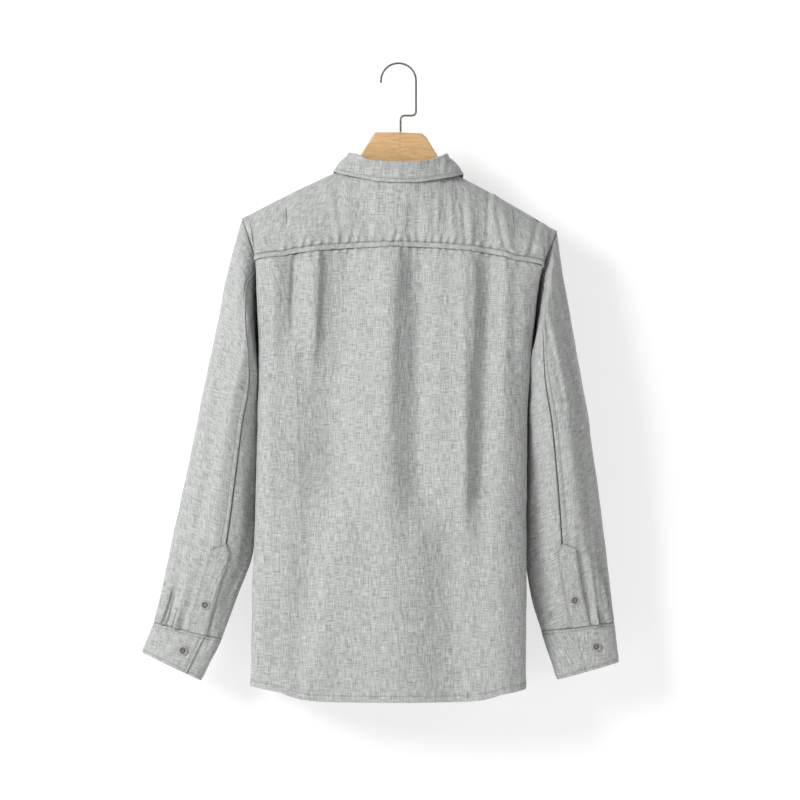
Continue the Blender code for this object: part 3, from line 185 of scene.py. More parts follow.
# Folds along each sleeve, by angle round the ring; wide is in degrees, depth in metres, out where above 0.
SLEEVE_FOLDS = {
    LEFT: table(
        "start end   from_angle to_angle wide depth",
        (0.06, 0.80, 92, 88, 13, 0.0040),
        (0.20, 0.95, 62, 56, 14, -0.0040),
        (0.30, 0.90, 28, 34, 12, 0.0030),
        (0.80, 1.04, 40, 52, 9, -0.0060),
        (0.10, 0.90, 290, 280, 18, -0.0050),
        (0.15, 0.85, 238, 242, 18, 0.0040),
        (0.55, 0.92, 148, 142, 13, -0.0045),
    ),
    RIGHT: table(
        "start end   from_angle to_angle wide depth",
        (0.06, 0.80, 72, 70, 13, 0.0040),
        (0.20, 0.95, 48, 40, 12, -0.0045),
        (0.40, 0.95, 22, 16, 10, 0.0025),
        (0.78, 1.04, 32, 22, 9, -0.0060),
        (0.10, 0.90, 290, 280, 18, -0.0050),
        (0.15, 0.85, 238, 242, 18, 0.0040),
        (0.50, 0.92, 132, 128, 15, -0.0055),
    ),
}
SLEEVE_FOLD_FADE = 0.06
PLACKET_WIDTH = 0.0265
PLACKET_OVER = 0.0085  # how far the placket's free edge passes the sleeve's back seam
PLACKET_START = 0.777  # its point, along the sleeve
PLACKET_SHOULDER = 0.799  # the lower end of its slanting sides
PLACKET_TIP = 0.30  # where across the placket its point is, from the free edge
PLACKET_BUTTON = 0.925
PLACKET_LIFT = 0.0012  # under the placket, whose sleeve is folded in flats
CUFF_BUTTON_BACK = {LEFT: 23.0, RIGHT: 31.0}  # degrees from the cuff's overlapping end to its button

# ---- sizes: collar, bands, buttons, hanger ------------------------------------------------------

# The stand's top edge and the leaf's lower edge, by angle round the neck from centre back.
COLLAR = table(
    "angle top_x  top_y   top_drop edge_x edge_y  edge_drop",
    (0.0, 0.0000, -0.0420, 0.1425, 0.0000, -0.0510, 0.1697),
    (15.0, 0.0188, -0.0405, 0.1423, 0.0250, -0.0492, 0.1687),
    (30.0, 0.0360, -0.0350, 0.1410, 0.0485, -0.0440, 0.1650),
    (60.0, 0.0600, -0.0180, 0.1330, 0.0815, -0.0280, 0.1582),
    (90.0, 0.0680, 0.0040, 0.1300, 0.0925, 0.0000, 0.1545),
    (115.0, 0.0600, 0.022, 0.1400, 0.0900, 0.0320, 0.1730),
    (140.0, 0.0420, 0.036, 0.1640, 0.0760, 0.0500, 0.2080),
    (160.0, 0.0230, 0.042, 0.1850, 0.0620, 0.0600, 0.2420),
    (171.0, 0.0105, 0.044, 0.1945, 0.0520, 0.0640, 0.2640),
    (180.0, 0.0000, 0.0445, 0.1980, 0.0400, 0.0640, 0.2700),
)
COLLAR_LEAN = 0.020  # the collar sits lower on the right, by this slope
LEAF_END_ANGLE = FRONT_YOKE_ANGLE + (180 - FRONT_YOKE_ANGLE) * (NECK_SPANS - 1) / NECK_SPANS
# The leaf's section at the fold: how far outside and above the stand's top edge its outer face runs.
LEAF_ROLL = table(
    "down   out      above",
    (0.000, -0.0014, 0.0006),
    (0.020, -0.0010, 0.0028),
    (0.045, 0.0012, 0.0036),
    (0.075, 0.0036, 0.0024),
    (0.110, 0.0046, 0.0000),
)
BAND_HALF_WIDTH = 0.016
PLACKET_TOP = 0.004  # share of the front at which the buttonhole band starts, under the stand
BAND_REACH = 0.066  # the front columns over which the lower layer slips under the upper one

BUTTON_RADIUS = 0.0062
BUTTON_THICK = 0.0022
FRONT_BUTTONS = 7
FIRST_BUTTON, LAST_BUTTON = 0.085, 0.86  # shares of the front's length

# One arm of the hanger, from the middle outwards. thick is the whole thickness along Y.
HANGER = table(
    "out    top_left top_right bottom thick",
    (0.0000, 0.0966, 0.0966, 0.1700, 0.0120),
    (0.0330, 0.0966, 0.0980, 0.1760, 0.0120),
    (0.0400, 0.1065, 0.1040, 0.1775, 0.0120),
    (0.0540, 0.1290, 0.1275, 0.1820, 0.0120),
    (0.0640, 0.1440, 0.1480, 0.1850, 0.0120),
)
ARM_CHAMFER = 0.0035
JOINT_X = 0.0021  # of the mitre between the arms


# ---- small tools -------------------------------------------------------------------------------


def smooth(rows, key, column, where):
    """A smooth curve through a table's rows, read at the places given. It never passes a row's value."""
    x, y = rows[key], rows[column]
    rise = np.diff(y) / np.diff(x)
    product = rise[:-1] * rise[1:]
    total = np.where(product > 0, rise[:-1] + rise[1:], 1.0)
    slope = np.concatenate([rise[:1], np.where(product > 0, 2 * product / total, 0.0), rise[-1:]])
    where = np.clip(where, x[0], x[-1])
    i = np.clip(np.searchsorted(x, where) - 1, 0, len(x) - 2)
    run = x[i + 1] - x[i]
    t = (where - x[i]) / run
    start = (1 + 2 * t) * (1 - t) ** 2 * y[i] + t * (1 - t) ** 2 * run * slope[i]
    end = t**2 * (3 - 2 * t) * y[i + 1] - t**2 * (1 - t) * run * slope[i + 1]
    return start + end


def ease(low, high, where):
    """0 below low, 1 above high, and a smooth step between."""
    t = np.clip((where - low) / (high - low), 0, 1)
    return t * t * (3 - 2 * t)


def mix(start, end, share):
    """From start at share 0 to end at share 1."""
    return start + (end - start) * share


def points(x, y, z):
    """Points from their three coordinates."""
    return np.stack(np.broadcast_arrays(x, y, z), axis=-1).astype(float)


def unit(vectors):
    """Vectors scaled to a length of one."""
    return vectors / np.maximum(np.linalg.norm(vectors, axis=-1, keepdims=True), 1e-12)


def hermite(start, end, start_way, end_way, t):
    """A curve from start to end that leaves and arrives along the two ways."""
    t = np.asarray(t)[..., None]
    curve = (1 + 2 * t) * (1 - t) ** 2 * start + t**2 * (3 - 2 * t) * end
    return curve + t * (1 - t) ** 2 * start_way - t**2 * (1 - t) * end_way


def fold_height(folds, x, drop):
    """How far the cloth stands out at a place, from all the folds of a table."""
    x, drop = np.broadcast_arrays(x, drop)
    height = np.zeros(x.shape)
    for top, low, top_x, low_x, wide_left, wide_right, depth in zip(*folds.values()):
        offset = x - mix(top_x, low_x, (drop - top) / (low - top))
        wide = np.where(offset < 0, wide_left, wide_right)
        begun = ease(top - FOLD_FADE, top + FOLD_FADE, drop)
        ended = ease(low - FOLD_FADE, low + FOLD_FADE, drop)
        height += depth * np.exp(-((offset / wide) ** 2)) * begun * (1 - ended)
    return height


# ---- the torso's surface -----------------------------------------------------------------------


def half_section(side, face, column, drop):
    """(x, y) of the body at a drop. column is 0 at the middle and 1 at the armhole or side seam."""
    name = "left" if side == LEFT else "right"
    reach = smooth(TORSO, "drop", name, drop)
    deep = smooth(TORSO, "drop", "back" if face < 0 else "front", drop)
    turn = smooth(TORSO, "drop", "turn", drop)
    seam_x = smooth(TORSO, "drop", "seam_" + name, drop)
    seam_deep = smooth(TORSO, "drop", "seam_back" if face < 0 else "seam_front", drop)
    across = np.abs(column) * (reach + deep - seam_deep)
    to_corner = mix(deep - turn, reach, 0.5 ** (1 / SECTION_POWER))
    corner = np.clip(across / to_corner, 0, 1)
    down = 1 - np.clip((across - to_corner) / (reach + deep - turn - to_corner), 0, 1)
    scale = (corner**SECTION_POWER + down**SECTION_POWER) ** (-1 / SECTION_POWER)
    round_side = np.clip((across - reach - deep + turn) / (turn - seam_deep), 0, 1)
    x = reach * corner * scale - (reach - seam_x) * ease(0, 1, round_side)
    y = turn + (deep - turn) * down * scale - (turn - seam_deep) * round_side
    return side * np.sign(column) * x, face * y


def row_drop(edge, side, column):
    """The drop along an edge that hangs lower or higher at the sides than at the middle."""
    share = np.clip(np.abs(column) / edge["full"], 0, 1)
    rise = mix(share, np.sin(math.pi / 2 * share), edge["round"]) ** edge["power"]
    return mix(edge["centre"], edge[side], rise)


def panel_share(top, side, column, row):
    """How far down a panel a row lies, with the row ARMHOLE_SHARE at the underarm on either side."""
    at_underarm = (UNDERARM_DROP - top) / (HEM[side] - top)
    armhole_row = mix(ARMHOLE_SHARE, at_underarm, np.abs(column) ** 2)
    above = armhole_row * row / ARMHOLE_SHARE
    below = mix(armhole_row, 1.0, (row - ARMHOLE_SHARE) / (1 - ARMHOLE_SHARE))
    return np.where(row < ARMHOLE_SHARE, above, below)


def back(side, column, row):
    """The back panel: column 0 to 1 from centre back to side, row 0 to 1 from yoke to hem."""
    share = panel_share(YOKE_SEAM[side], side, column, row)
    drop = mix(row_drop(YOKE_SEAM, side, column), row_drop(HEM, side, column), share)
    x, y = half_section(side, -1, column, drop)
    flat = 1 - ease(0.80, 0.97, np.abs(column))
    return points(x, y - flat * fold_height(BACK_FOLDS, x, drop), -drop)


def neckline(side, angle):
    """The seam between body and collar, by angle in degrees from centre back past centre front."""
    turn = np.radians(angle)
    behind = np.cos(turn) > 0
    y = -np.cos(turn) * np.where(behind, NECK["back"], NECK["front"])
    low = np.where(behind, NECK["centre_back"], NECK["centre_front"])
    power = np.where(behind, 2.0, 1.5)
    drop = mix(NECK_SIDE[side], low, np.abs(np.cos(turn)) ** power)
    return points(side * NECK_HALF_WIDTH * np.sin(turn), y, -drop)


def tuck(side, x):
    """How far the right side slips under the left one near the centre front."""
    if side == LEFT:
        return np.zeros_like(x)
    return UNDERLAP * (1 - ease(BAND_HALF_WIDTH + 0.004, BAND_REACH, x))


def shoulder_line(side, share):
    """The ridge of the shoulder, from the neck, 0, to the top of the sleeve, 1."""
    out, drop = SHOULDER[side]
    bow = SHOULDER_BOW * share * (1 - share)
    return points(side * mix(NECK_HALF_WIDTH, out, share), 0.0, -(mix(NECK_SIDE[side], drop, share) - bow))


def past_neck(column):
    """How far a column is from the neck, 0, towards the armhole, 1."""
    return np.clip((np.abs(column) - NECK_COLUMN) / (1 - NECK_COLUMN), 0, 1)


def front_top(side, column):
    """The front panel's upper edge: the neckline up to NECK_COLUMN, then the front yoke seam."""
    in_neck = np.clip(column / NECK_COLUMN, -1, 1)
    neck = neckline(side, mix(180.0, FRONT_YOKE_ANGLE, in_neck))
    end_drop = SHOULDER[side][1] + FRONT_YOKE_END
    end = points(*half_section(side, 1, np.array(1.0), end_drop), -end_drop)
    share = past_neck(column)[..., None]
    line = mix(neck, end, share) + np.array([0.0, 0.040, 0.0]) * share * (1 - share)
    x, y = half_section(side, 1, column, -line[..., 2])
    return mix(line, points(x, y, line[..., 2]), ease(0.25, 1.0, share))


def front(side, column, row):
    """A front panel: column 0 to 1 from centre front to side, row 0 to 1 from its top to the hem."""
    column, row = np.broadcast_arrays(np.asarray(column, float), np.asarray(row, float))
    top = front_top(side, column)
    share = panel_share(SHOULDER[side][1] + FRONT_YOKE_END, side, column, row)
    drop = mix(-top[..., 2], row_drop(HEM, side, column), share)
    x, y = half_section(side, 1, column, drop)
    top_x, top_y = half_section(side, 1, column, -top[..., 2])
    fade = (1 - ease(0.0, 0.45, share)) ** 1.5
    flat = 1 - ease(0.80, 0.97, np.abs(column))
    x = x + fade * (top[..., 0] - top_x)
    y = y + fade * (top[..., 1] - top_y) + flat * fold_height(FRONT_FOLDS, x, drop)
    return points(x, y - tuck(side, x), -drop)


def yoke_behind(side, column, up):
    """The yoke from the back seam, 0, up to the shoulder line or the neckline, 1."""
    seam = back(side, column, np.zeros_like(column))
    climb = unit(seam - back(side, column, np.full_like(column, 1e-3)))
    in_neck = np.clip(np.abs(column) / NECK_COLUMN, 0, 1)
    share = past_neck(column)
    ridge = np.where((share > 0)[..., None], shoulder_line(side, share), neckline(side, 90 * in_neck))
    lean = (in_neck**2)[..., None]
    ridge_way = unit(mix(np.array([0.0, 0.3, 1.0]), np.array([0.0, 1.0, 0.0]), lean))
    rise = np.linalg.norm(ridge - seam, axis=-1, keepdims=True)
    face = hermite(seam, ridge, climb * rise, ridge_way * rise, up)
    height = fold_height(YOKE_FOLDS, face[..., 0], -face[..., 2]) * (1 - ease(0.85, 1, share))
    return face - points(0, 1, 0) * (height * ease(0, 0.12, up) * (1 - ease(0.6, 1, up)))[..., None]


def yoke_ahead(side, column, down):
    """The yoke from the shoulder line, 0, down to the front seam, 1, before its neck edge is cut."""
    ridge = shoulder_line(side, past_neck(column))
    seam = front_top(side, column)
    upper = front(side, column, np.zeros_like(column))
    fall = unit(front(side, column, np.full_like(column, 1e-3)) - upper)
    run = np.linalg.norm(seam - ridge, axis=-1, keepdims=True)
    return hermite(ridge, seam, np.array([0.0, 1.0, 0.0]) * run, fall * run, down)


def yoke_front(side, column, down):
    """The yoke in front of the shoulder line, with its neck edge on the neckline."""
    column, down = np.broadcast_arrays(np.asarray(column, float), np.asarray(down, float))
    at_neck = yoke_ahead(side, np.full_like(column, NECK_COLUMN), down)
    wanted = neckline(side, mix(90.0, FRONT_YOKE_ANGLE, down))
    face = yoke_ahead(side, column, down)
    return face + (wanted - at_neck) * ((1 - past_neck(column)) ** 3)[..., None]


def armhole(side, turn):
    """The seam between body and sleeve, by the place round the sleeve."""
    turn = np.asarray(turn, float) % 1.0
    one = np.ones_like(turn)
    up_back = 1 - np.clip(turn / YOKE_END_TURN, 0, 1)
    down_back = np.clip((turn - YOKE_END_TURN) / (UNDERARM_TURN - YOKE_END_TURN), 0, 1)
    up_front = np.clip((FRONT_YOKE_END_TURN - turn) / (FRONT_YOKE_END_TURN - UNDERARM_TURN), 0, 1)
    over_front = np.clip((1 - turn) / (1 - FRONT_YOKE_END_TURN), 0, 1)
    places = (
        (turn < FRONT_YOKE_END_TURN, front(side, one, ARMHOLE_SHARE * up_front)),
        (turn < UNDERARM_TURN, back(side, one, ARMHOLE_SHARE * down_back)),
        (turn < YOKE_END_TURN, yoke_behind(side, one, up_back)),
    )
    found = yoke_front(side, one, over_front)
    for here, place in places:
        found = np.where(here[..., None], place, found)
    return found


# ---- sleeves, cuffs, collar --------------------------------------------------------------------


def armhole_angle(side, turn):
    """The angle round the first ring that lies beside each place of the armhole."""
    place = armhole(side, turn)
    rows = {name: column[0] for name, column in SLEEVE[side].items()}
    reach = np.array([rows["outer_x"] - rows["inner_x"], rows["outer_drop"] - rows["inner_drop"]]) / 2
    middle = np.array([rows["outer_x"] + rows["inner_x"], rows["outer_drop"] + rows["inner_drop"]]) / 2
    offset = np.stack([side * place[..., 0], -place[..., 2]], axis=-1) - middle
    across = np.clip(offset @ reach / (reach @ reach), -1, 1)
    deep = (1 - np.abs(across) ** RING_POWER) ** (1 / RING_POWER)
    angle = np.degrees(np.arctan2(deep, across))
    return np.where(turn % 1.0 > UNDERARM_TURN, 360 - angle, angle)


def ring_angle(side, turn, along):
    """The angle round a sleeve's ring, in degrees, with the back seam always at BACK_SEAM_TURN."""
    seam = smooth(SLEEVE[side], "along", "seam", along)
    to_seam = seam * turn / BACK_SEAM_TURN
    to_underarm = mix(seam, 180.0, (turn - BACK_SEAM_TURN) / (UNDERARM_TURN - BACK_SEAM_TURN))
    to_outer = mix(180.0, 360.0, (turn - UNDERARM_TURN) / (1 - UNDERARM_TURN))
    even = np.where(turn < BACK_SEAM_TURN, to_seam, np.where(turn < UNDERARM_TURN, to_underarm, to_outer))
    return mix(armhole_angle(side, turn), even, ease(0, ARMHOLE_SPREAD, along))


def ring(side, outer, inner, behind, ahead, angle, out, lean=0.0):
    """A point of a ring that spans outer to inner, (x, drop) each, raised by out from its face."""
    turn = np.radians(angle)
    cosine, sine = np.cos(turn), np.sin(turn)
    scale = (np.abs(cosine) ** RING_POWER + np.abs(sine) ** RING_POWER) ** (-1 / RING_POWER)
    reach_x, reach_drop = (outer[0] - inner[0]) / 2, (outer[1] - inner[1]) / 2
    across = cosine * scale + cosine * out / np.hypot(reach_x, reach_drop)
    deep = np.where(sine > 0, -behind, -ahead) * sine * scale - sine * out
    x = (outer[0] + inner[0]) / 2 + reach_x * across - lean * np.abs(sine)
    drop = (outer[1] + inner[1]) / 2 + reach_drop * across
    return points(side * x, deep, -drop)


def sleeve_fold(side, angle, along):
    """How far a sleeve's face stands out at a place, from all its folds."""
    height = np.zeros(np.broadcast(angle, along).shape)
    for start, end, from_angle, to_angle, wide, depth in zip(*SLEEVE_FOLDS[side].values()):
        centre = mix(from_angle, to_angle, (along - start) / (end - start))
        offset = (angle - centre + 180) % 360 - 180
        begun = ease(start - SLEEVE_FOLD_FADE, start + SLEEVE_FOLD_FADE, along)
        ended = ease(end - SLEEVE_FOLD_FADE, end + SLEEVE_FOLD_FADE, along)
        height = height + depth * np.exp(-((offset / wide) ** 2)) * begun * (1 - ended)
    return height


def plain_sleeve(side, turn, along, fold):
    """A sleeve before it is drawn to the armhole, with its face moved out by fold."""
    rows = {name: smooth(SLEEVE[side], "along", name, along) for name in SLEEVE[side]}
    outer = rows["outer_x"], rows["outer_drop"]
    inner = rows["inner_x"], rows["inner_drop"]
    angle = ring_angle(side, turn, along)
    return ring(side, outer, inner, rows["back"], rows["front"], angle, fold, rows["lean"])


def sleeve(side, turn, along):
    """The sleeve's outer face: turn round it, along 0 to 1 from the armhole to the cuff seam."""
    turn, along = np.broadcast_arrays(np.asarray(turn, float), np.asarray(along, float))
    turn = turn % 1.0
    fold = sleeve_fold(side, ring_angle(side, turn, along), along)
    fold = fold * ease(0.0, 0.10, along) * (1 - ease(0.985, 1.0, along) * 0.6)
    pull = ((1 - np.clip(along / ARMHOLE_BLEND, 0, 1)) ** 2)[..., None]
    none = np.zeros_like(along)
    shift = armhole(side, turn) - plain_sleeve(side, turn, none, none)
    return plain_sleeve(side, turn, along, fold) + pull * shift


def cuff(side, angle, down):
    """A cuff's outer face: angle in degrees round it, past 360 where it laps itself, down 0 to 1."""
    rows = {name: column[-1] for name, column in SLEEVE[side].items()}
    outer_x, outer_drop, inner_x, inner_drop, deep = CUFF_EDGE[side]
    outer = mix(rows["outer_x"], outer_x, down), mix(rows["outer_drop"], outer_drop, down)
    inner = mix(rows["inner_x"], inner_x, down), mix(rows["inner_drop"], inner_drop, down)
    start = cuff_angles(side)[0]
    under = UNDERLAP * (1 - ease(start + CUFF_UNDERLAP + 2, start + CUFF_UNDERLAP + 30, angle))
    thick = mix(rows["back"], deep, down)
    return ring(side, outer, inner, thick, thick, angle, 0.0004 - under)


def cuff_angles(side):
    """The ring angles at which the cuff starts, under its own lap, and ends."""
    end = SLEEVE[side]["seam"][-1] + 360 + 8
    return end - 360 - CUFF_UNDERLAP, end


def collar_curve(side, kind, angle):
    """The stand's top edge or the leaf's lower edge, mirrored past centre front."""
    before = 180 - np.abs(180 - angle)
    x, y, drop = (smooth(COLLAR, "angle", kind + name, before) for name in ("_x", "_y", "_drop"))
    x = np.where(angle > 180, -x, x)
    return points(side * x, y, -drop - side * x * COLLAR_LEAN)


def collar_tuck(side, angle):
    """How far the collar's band is drawn in with the front edges."""
    x = side * neckline(side, angle)[..., 0]
    return points(0, np.where(angle > 90, -tuck(side, x), 0), 0)


def stand(side, angle, up):
    """The collar stand, up 0 at the neckline and 1 at its top."""
    low = neckline(side, angle)
    bulge = unit(points(low[..., 0], low[..., 1], 0)) * (0.008 * up * (1 - up))[..., None]
    return mix(low, collar_curve(side, "top", angle), up[..., None]) + bulge + collar_tuck(side, angle)


def leaf(side, angle, down):
    """The collar leaf's outer face, down 0 at the stand's top, over the fold, to 1 at its lower edge."""
    angle, down = np.broadcast_arrays(np.asarray(angle, float), np.asarray(down, float))
    top, edge = collar_curve(side, "top", angle), collar_curve(side, "edge", angle)
    outward = unit(points(top[..., 0], top[..., 1] - 0.004, 0))
    fold_end = LEAF_ROLL["down"][-1]
    fall = np.clip((down - fold_end) / (1 - fold_end), 0, 1)
    out = smooth(LEAF_ROLL, "down", "out", down)
    above = smooth(LEAF_ROLL, "down", "above", down)
    rolled = top + outward * out[..., None] + points(0, 0, above)
    lowered = edge - top - outward * LEAF_ROLL["out"][-1]
    belly = outward * (0.0022 * np.sin(math.pi * fall))[..., None]
    return rolled + lowered * fall[..., None] + belly + collar_tuck(side, angle)


# ---- looks: sizes ------------------------------------------------------------------------------

# Photograph: millimetres per pixel, and the pixel of the origin.
PIXEL = 0.00142
ORIGIN_PX = (398.5, 64.3)
VIEW_PX = (400.0, 400.0)
CAMERA_AWAY = 8.0
PICTURE = 800

# Smaller folds of the back, as BACK_FOLDS: ridges towards -Y are above 0.
SMALL_FOLDS = table(
    "top    low    top_x   low_x   wide_left wide_right depth",
    (0.262, 0.420, -0.1720, -0.1760, 0.016, 0.008, 0.0030),
    (0.262, 0.365, -0.1455, -0.1500, 0.004, 0.005, -0.0024),
    (0.262, 0.350, -0.1370, -0.1400, 0.006, 0.006, 0.0014),
    (0.262, 0.420, -0.1110, -0.1200, 0.012, 0.006, 0.0032),
    (0.258, 0.320, -0.0800, -0.0830, 0.006, 0.006, 0.0010),
    (0.258, 0.520, -0.0480, -0.0700, 0.022, 0.012, 0.0036),
    (0.256, 0.500, -0.0050, -0.0150, 0.018, 0.010, 0.0030),
    (0.256, 0.330, 0.0180, 0.0160, 0.006, 0.008, -0.0010),
    (0.256, 0.560, 0.0480, 0.0440, 0.012, 0.016, 0.0026),
    (0.256, 0.300, 0.0720, 0.0700, 0.005, 0.006, -0.0010),
    (0.262, 0.640, 0.0940, 0.0930, 0.010, 0.006, 0.0028),
    (0.262, 0.420, 0.1060, 0.1040, 0.006, 0.010, 0.0020),
    (0.266, 0.700, 0.1385, 0.1220, 0.010, 0.006, -0.0018),
    (0.270, 0.520, 0.1530, 0.1480, 0.012, 0.010, 0.0022),
    (0.290, 0.420, 0.1790, 0.1720, 0.008, 0.010, 0.0018),
    (0.440, 0.640, -0.1800, -0.1840, 0.014, 0.012, 0.0022),
    (0.430, 0.720, -0.0560, -0.0900, 0.018, 0.026, 0.0030),
    (0.600, 0.880, -0.1000, -0.1200, 0.020, 0.016, 0.0028),
    (0.540, 0.860, -0.0200, -0.0100, 0.030, 0.026, 0.0016),
    (0.560, 0.880, 0.0480, 0.0560, 0.022, 0.026, -0.0016),
    (0.420, 0.760, 0.1160, 0.1140, 0.010, 0.008, -0.0012),
    (0.600, 0.880, 0.1300, 0.1340, 0.014, 0.018, 0.0020),
    (0.640, 0.890, -0.1500, -0.1580, 0.012, 0.014, 0.0016),
    (0.700, 0.890, 0.0960, 0.1000, 0.016, 0.014, -0.0012),
)
# Pressed creases, sharp and shallow: x at their top and low ends.
PRESSED = table(
    "top    low    top_x   low_x   wide    depth",
    (0.335, 0.900, -0.1484, -0.1285, 0.0030, 0.0007),
    (0.520, 0.900, 0.1214, 0.1143, 0.0026, 0.0006),
)
# Puckers along the yoke seam: where, how wide, how far they reach above and below it, and how high.
SEAM_PUCKERS = table(
    "x       wide    above   below   high    slant",
    (-0.1900, 0.0040, 0.004, 0.012, 0.0006, 0.1),
    (-0.1780, 0.0050, 0.008, 0.020, 0.0010, -0.2),
    (-0.1620, 0.0036, 0.016, 0.010, 0.0009, 0.4),
    (-0.1500, 0.0032, 0.014, 0.007, 0.0008, -0.5),
    (-0.1380, 0.0030, 0.020, 0.014, 0.0013, 0.5),
    (-0.1260, 0.0034, 0.013, 0.022, 0.0012, 0.3),
    (-0.1130, 0.0030, 0.010, 0.018, 0.0010, 0.4),
    (-0.0990, 0.0034, 0.016, 0.008, 0.0008, -0.2),
    (-0.0860, 0.0030, 0.022, 0.013, 0.0011, 0.2),
    (-0.0740, 0.0026, 0.017, 0.009, 0.0010, 0.5),
    (-0.0600, 0.0032, 0.022, 0.010, 0.0013, 0.4),
    (-0.0480, 0.0030, 0.014, 0.018, 0.0010, -0.3),
    (-0.0370, 0.0030, 0.018, 0.010, 0.0010, 0.3),
    (-0.0240, 0.0034, 0.012, 0.014, 0.0009, -0.1),
    (-0.0110, 0.0030, 0.020, 0.009, 0.0011, 0.4),
    (0.0000, 0.0030, 0.016, 0.016, 0.0009, 0.3),
    (0.0120, 0.0030, 0.014, 0.008, 0.0010, -0.4),
    (0.0240, 0.0030, 0.018, 0.008, 0.0011, -0.2),
    (0.0350, 0.0026, 0.016, 0.012, 0.0010, 0.2),
    (0.0450, 0.0028, 0.014, 0.018, 0.0010, 0.2),
    (0.0560, 0.0024, 0.014, 0.008, 0.0012, 0.5),
    (0.0660, 0.0024, 0.013, 0.009, 0.0011, 0.6),
    (0.0760, 0.0030, 0.018, 0.011, 0.0009, 0.5),
    (0.0880, 0.0030, 0.013, 0.020, 0.0011, 0.6),
    (0.1000, 0.0034, 0.016, 0.016, 0.0009, 0.2),
    (0.1130, 0.0034, 0.011, 0.009, 0.0009, 0.3),
    (0.1260, 0.0030, 0.016, 0.008, 0.0010, 0.5),
    (0.1380, 0.0034, 0.020, 0.012, 0.0012, 0.9),
    (0.1500, 0.0036, 0.009, 0.018, 0.0010, 0.4),
    (0.1640, 0.0040, 0.008, 0.012, 0.0008, 0.2),
    (0.1780, 0.0040, 0.010, 0.010, 0.0008, 0.2),
    (0.1900, 0.0036, 0.006, 0.009, 0.0006, 0.2),
)
YOKE_BAND = 0.0062  # the topstitched turning of the yoke above its seam
ARMHOLE_BAND = 0.0085
SEAM_BAND = 0.0062  # of the sleeve's and side seams
HEM_BAND = 0.0090
FRONT_BAND_STITCH = 0.0045
CUFF_STITCH = 0.0042
COLLAR_STITCH = 0.0050
STITCH_LONG, STITCH_GAP, STITCH_WIDE = 0.0024, 0.0008, 0.00042

CRUMPLE = 0.00055  # height of the crumples over the whole cloth
PUCKER_GAIN, FOLD_GAIN = 3.0, 1.35  # by which the two tables above are scaled


# ---- looks: cloth ------------------------------------------------------------------------------


def spread(length, fine, coarse, near):
    """Shares of a run, close together within near of its ends and further apart in the middle."""
    place = np.linspace(0, length, 4001)
    edge = np.minimum(place, length - place)
    gap = mix(fine, coarse, ease(near, near * 3.5, edge))
    count = np.concatenate([[0], np.cumsum(np.diff(place) / gap[1:])])
    spans = max(int(math.ceil(count[-1])), 2)
    return np.interp(np.linspace(0, count[-1], spans + 1), count, place) / length


def runs(grid, axis):
    """Length along the grid's rows or columns, from its first edge."""
    step = np.linalg.norm(np.diff(grid, axis=axis), axis=-1)
    start = np.zeros_like(np.take(step, [0], axis=axis))
    return np.concatenate([start, np.cumsum(step, axis=axis)], axis=axis)


def facing(grid, outward):
    """Unit normals of a grid, towards the side given."""
    normal = unit(np.cross(np.gradient(grid, axis=1), np.gradient(grid, axis=0)))
    middle = normal[grid.shape[0] // 2, grid.shape[1] // 2]
    return normal if middle @ np.array(outward) > 0 else -normal


def raised(grid, height, outward):
    """The grid with each of its points moved out by a height."""
    return grid + facing(grid, outward) * height[..., None]


def step_down(distance, width, soft=0.0009):
    """1 over a seam's turning, and 0 past its edge."""
    return 1 - ease(width - soft, width + soft, distance)


def groove(distance, place, wide=0.0009):
    """1 along a line at a place, and 0 away from it."""
    return np.exp(-(((distance - place) / wide) ** 2))


def turning(distance, width, high, deep):
    """The height of a seam's turning or a hem: thicker up to its edge, with a row of stitching let in."""
    return high * step_down(distance, width) - deep * groove(distance, width - 0.001)


def from_ends(grid, axis):
    """The distance of each point of a grid from the grid's first edge, and from its last."""
    start = runs(grid, axis)
    return start, (start[-1:] if axis == 0 else start[:, -1:]) - start


def rolled(edge):
    """How far cloth has fallen away over the round of a folded edge."""
    share = 1 - np.clip(edge / EDGE_ROUND, 0, 1)
    return EDGE_ROUND / 2 * (1 - np.sqrt(np.clip(1 - share**2, 0, 1)))


EDGE_ROUND = 0.0012
WAVES = np.random.default_rng(7).uniform(size=(26, 4))


def crumple(u, v, upright=0.45):
    """Small uneven waves over the cloth, mostly long in v, between -1 and 1."""
    total = np.zeros(np.broadcast(u, v).shape)
    for turn, long, phase, high in WAVES:
        wave = 0.011 + 0.040 * long
        angle = (turn - 0.5) * math.pi * upright
        way = u * math.cos(angle) + v * math.sin(angle)
        total += (0.3 + high) * np.sin(math.tau * (way / wave + phase))
    return total / 8


def puckers(x, distance, above):
    """The height of the yoke seam's puckers at a distance from the stitching."""
    total = np.zeros_like(x)
    for place, wide, up, down, high, slant in zip(*SEAM_PUCKERS.values()):
        reach = up if above else down
        centre = place + slant * distance * (0.6 if above else -0.2)
        wider = wide * (1 + 0.5 * distance / reach)
        total += high * np.exp(-(((x - centre) / wider) ** 2)) * np.exp(-((distance / reach) ** 2))
    return PUCKER_GAIN * total * ease(0.0, 0.0015, distance)


def pressed(x, drop):
    """The height of the creases pressed into the back."""
    total = np.zeros_like(x)
    for top, low, top_x, low_x, wide, depth in zip(*PRESSED.values()):
        offset = np.abs(x - mix(top_x, low_x, (drop - top) / (low - top)))
        reach = ease(top, top + 0.06, drop) * (1 - ease(low - 0.01, low, drop))
        total += depth * np.exp(-offset / wide) * reach
    return total


STITCHES = []  # (points, normals) of every row of stitching


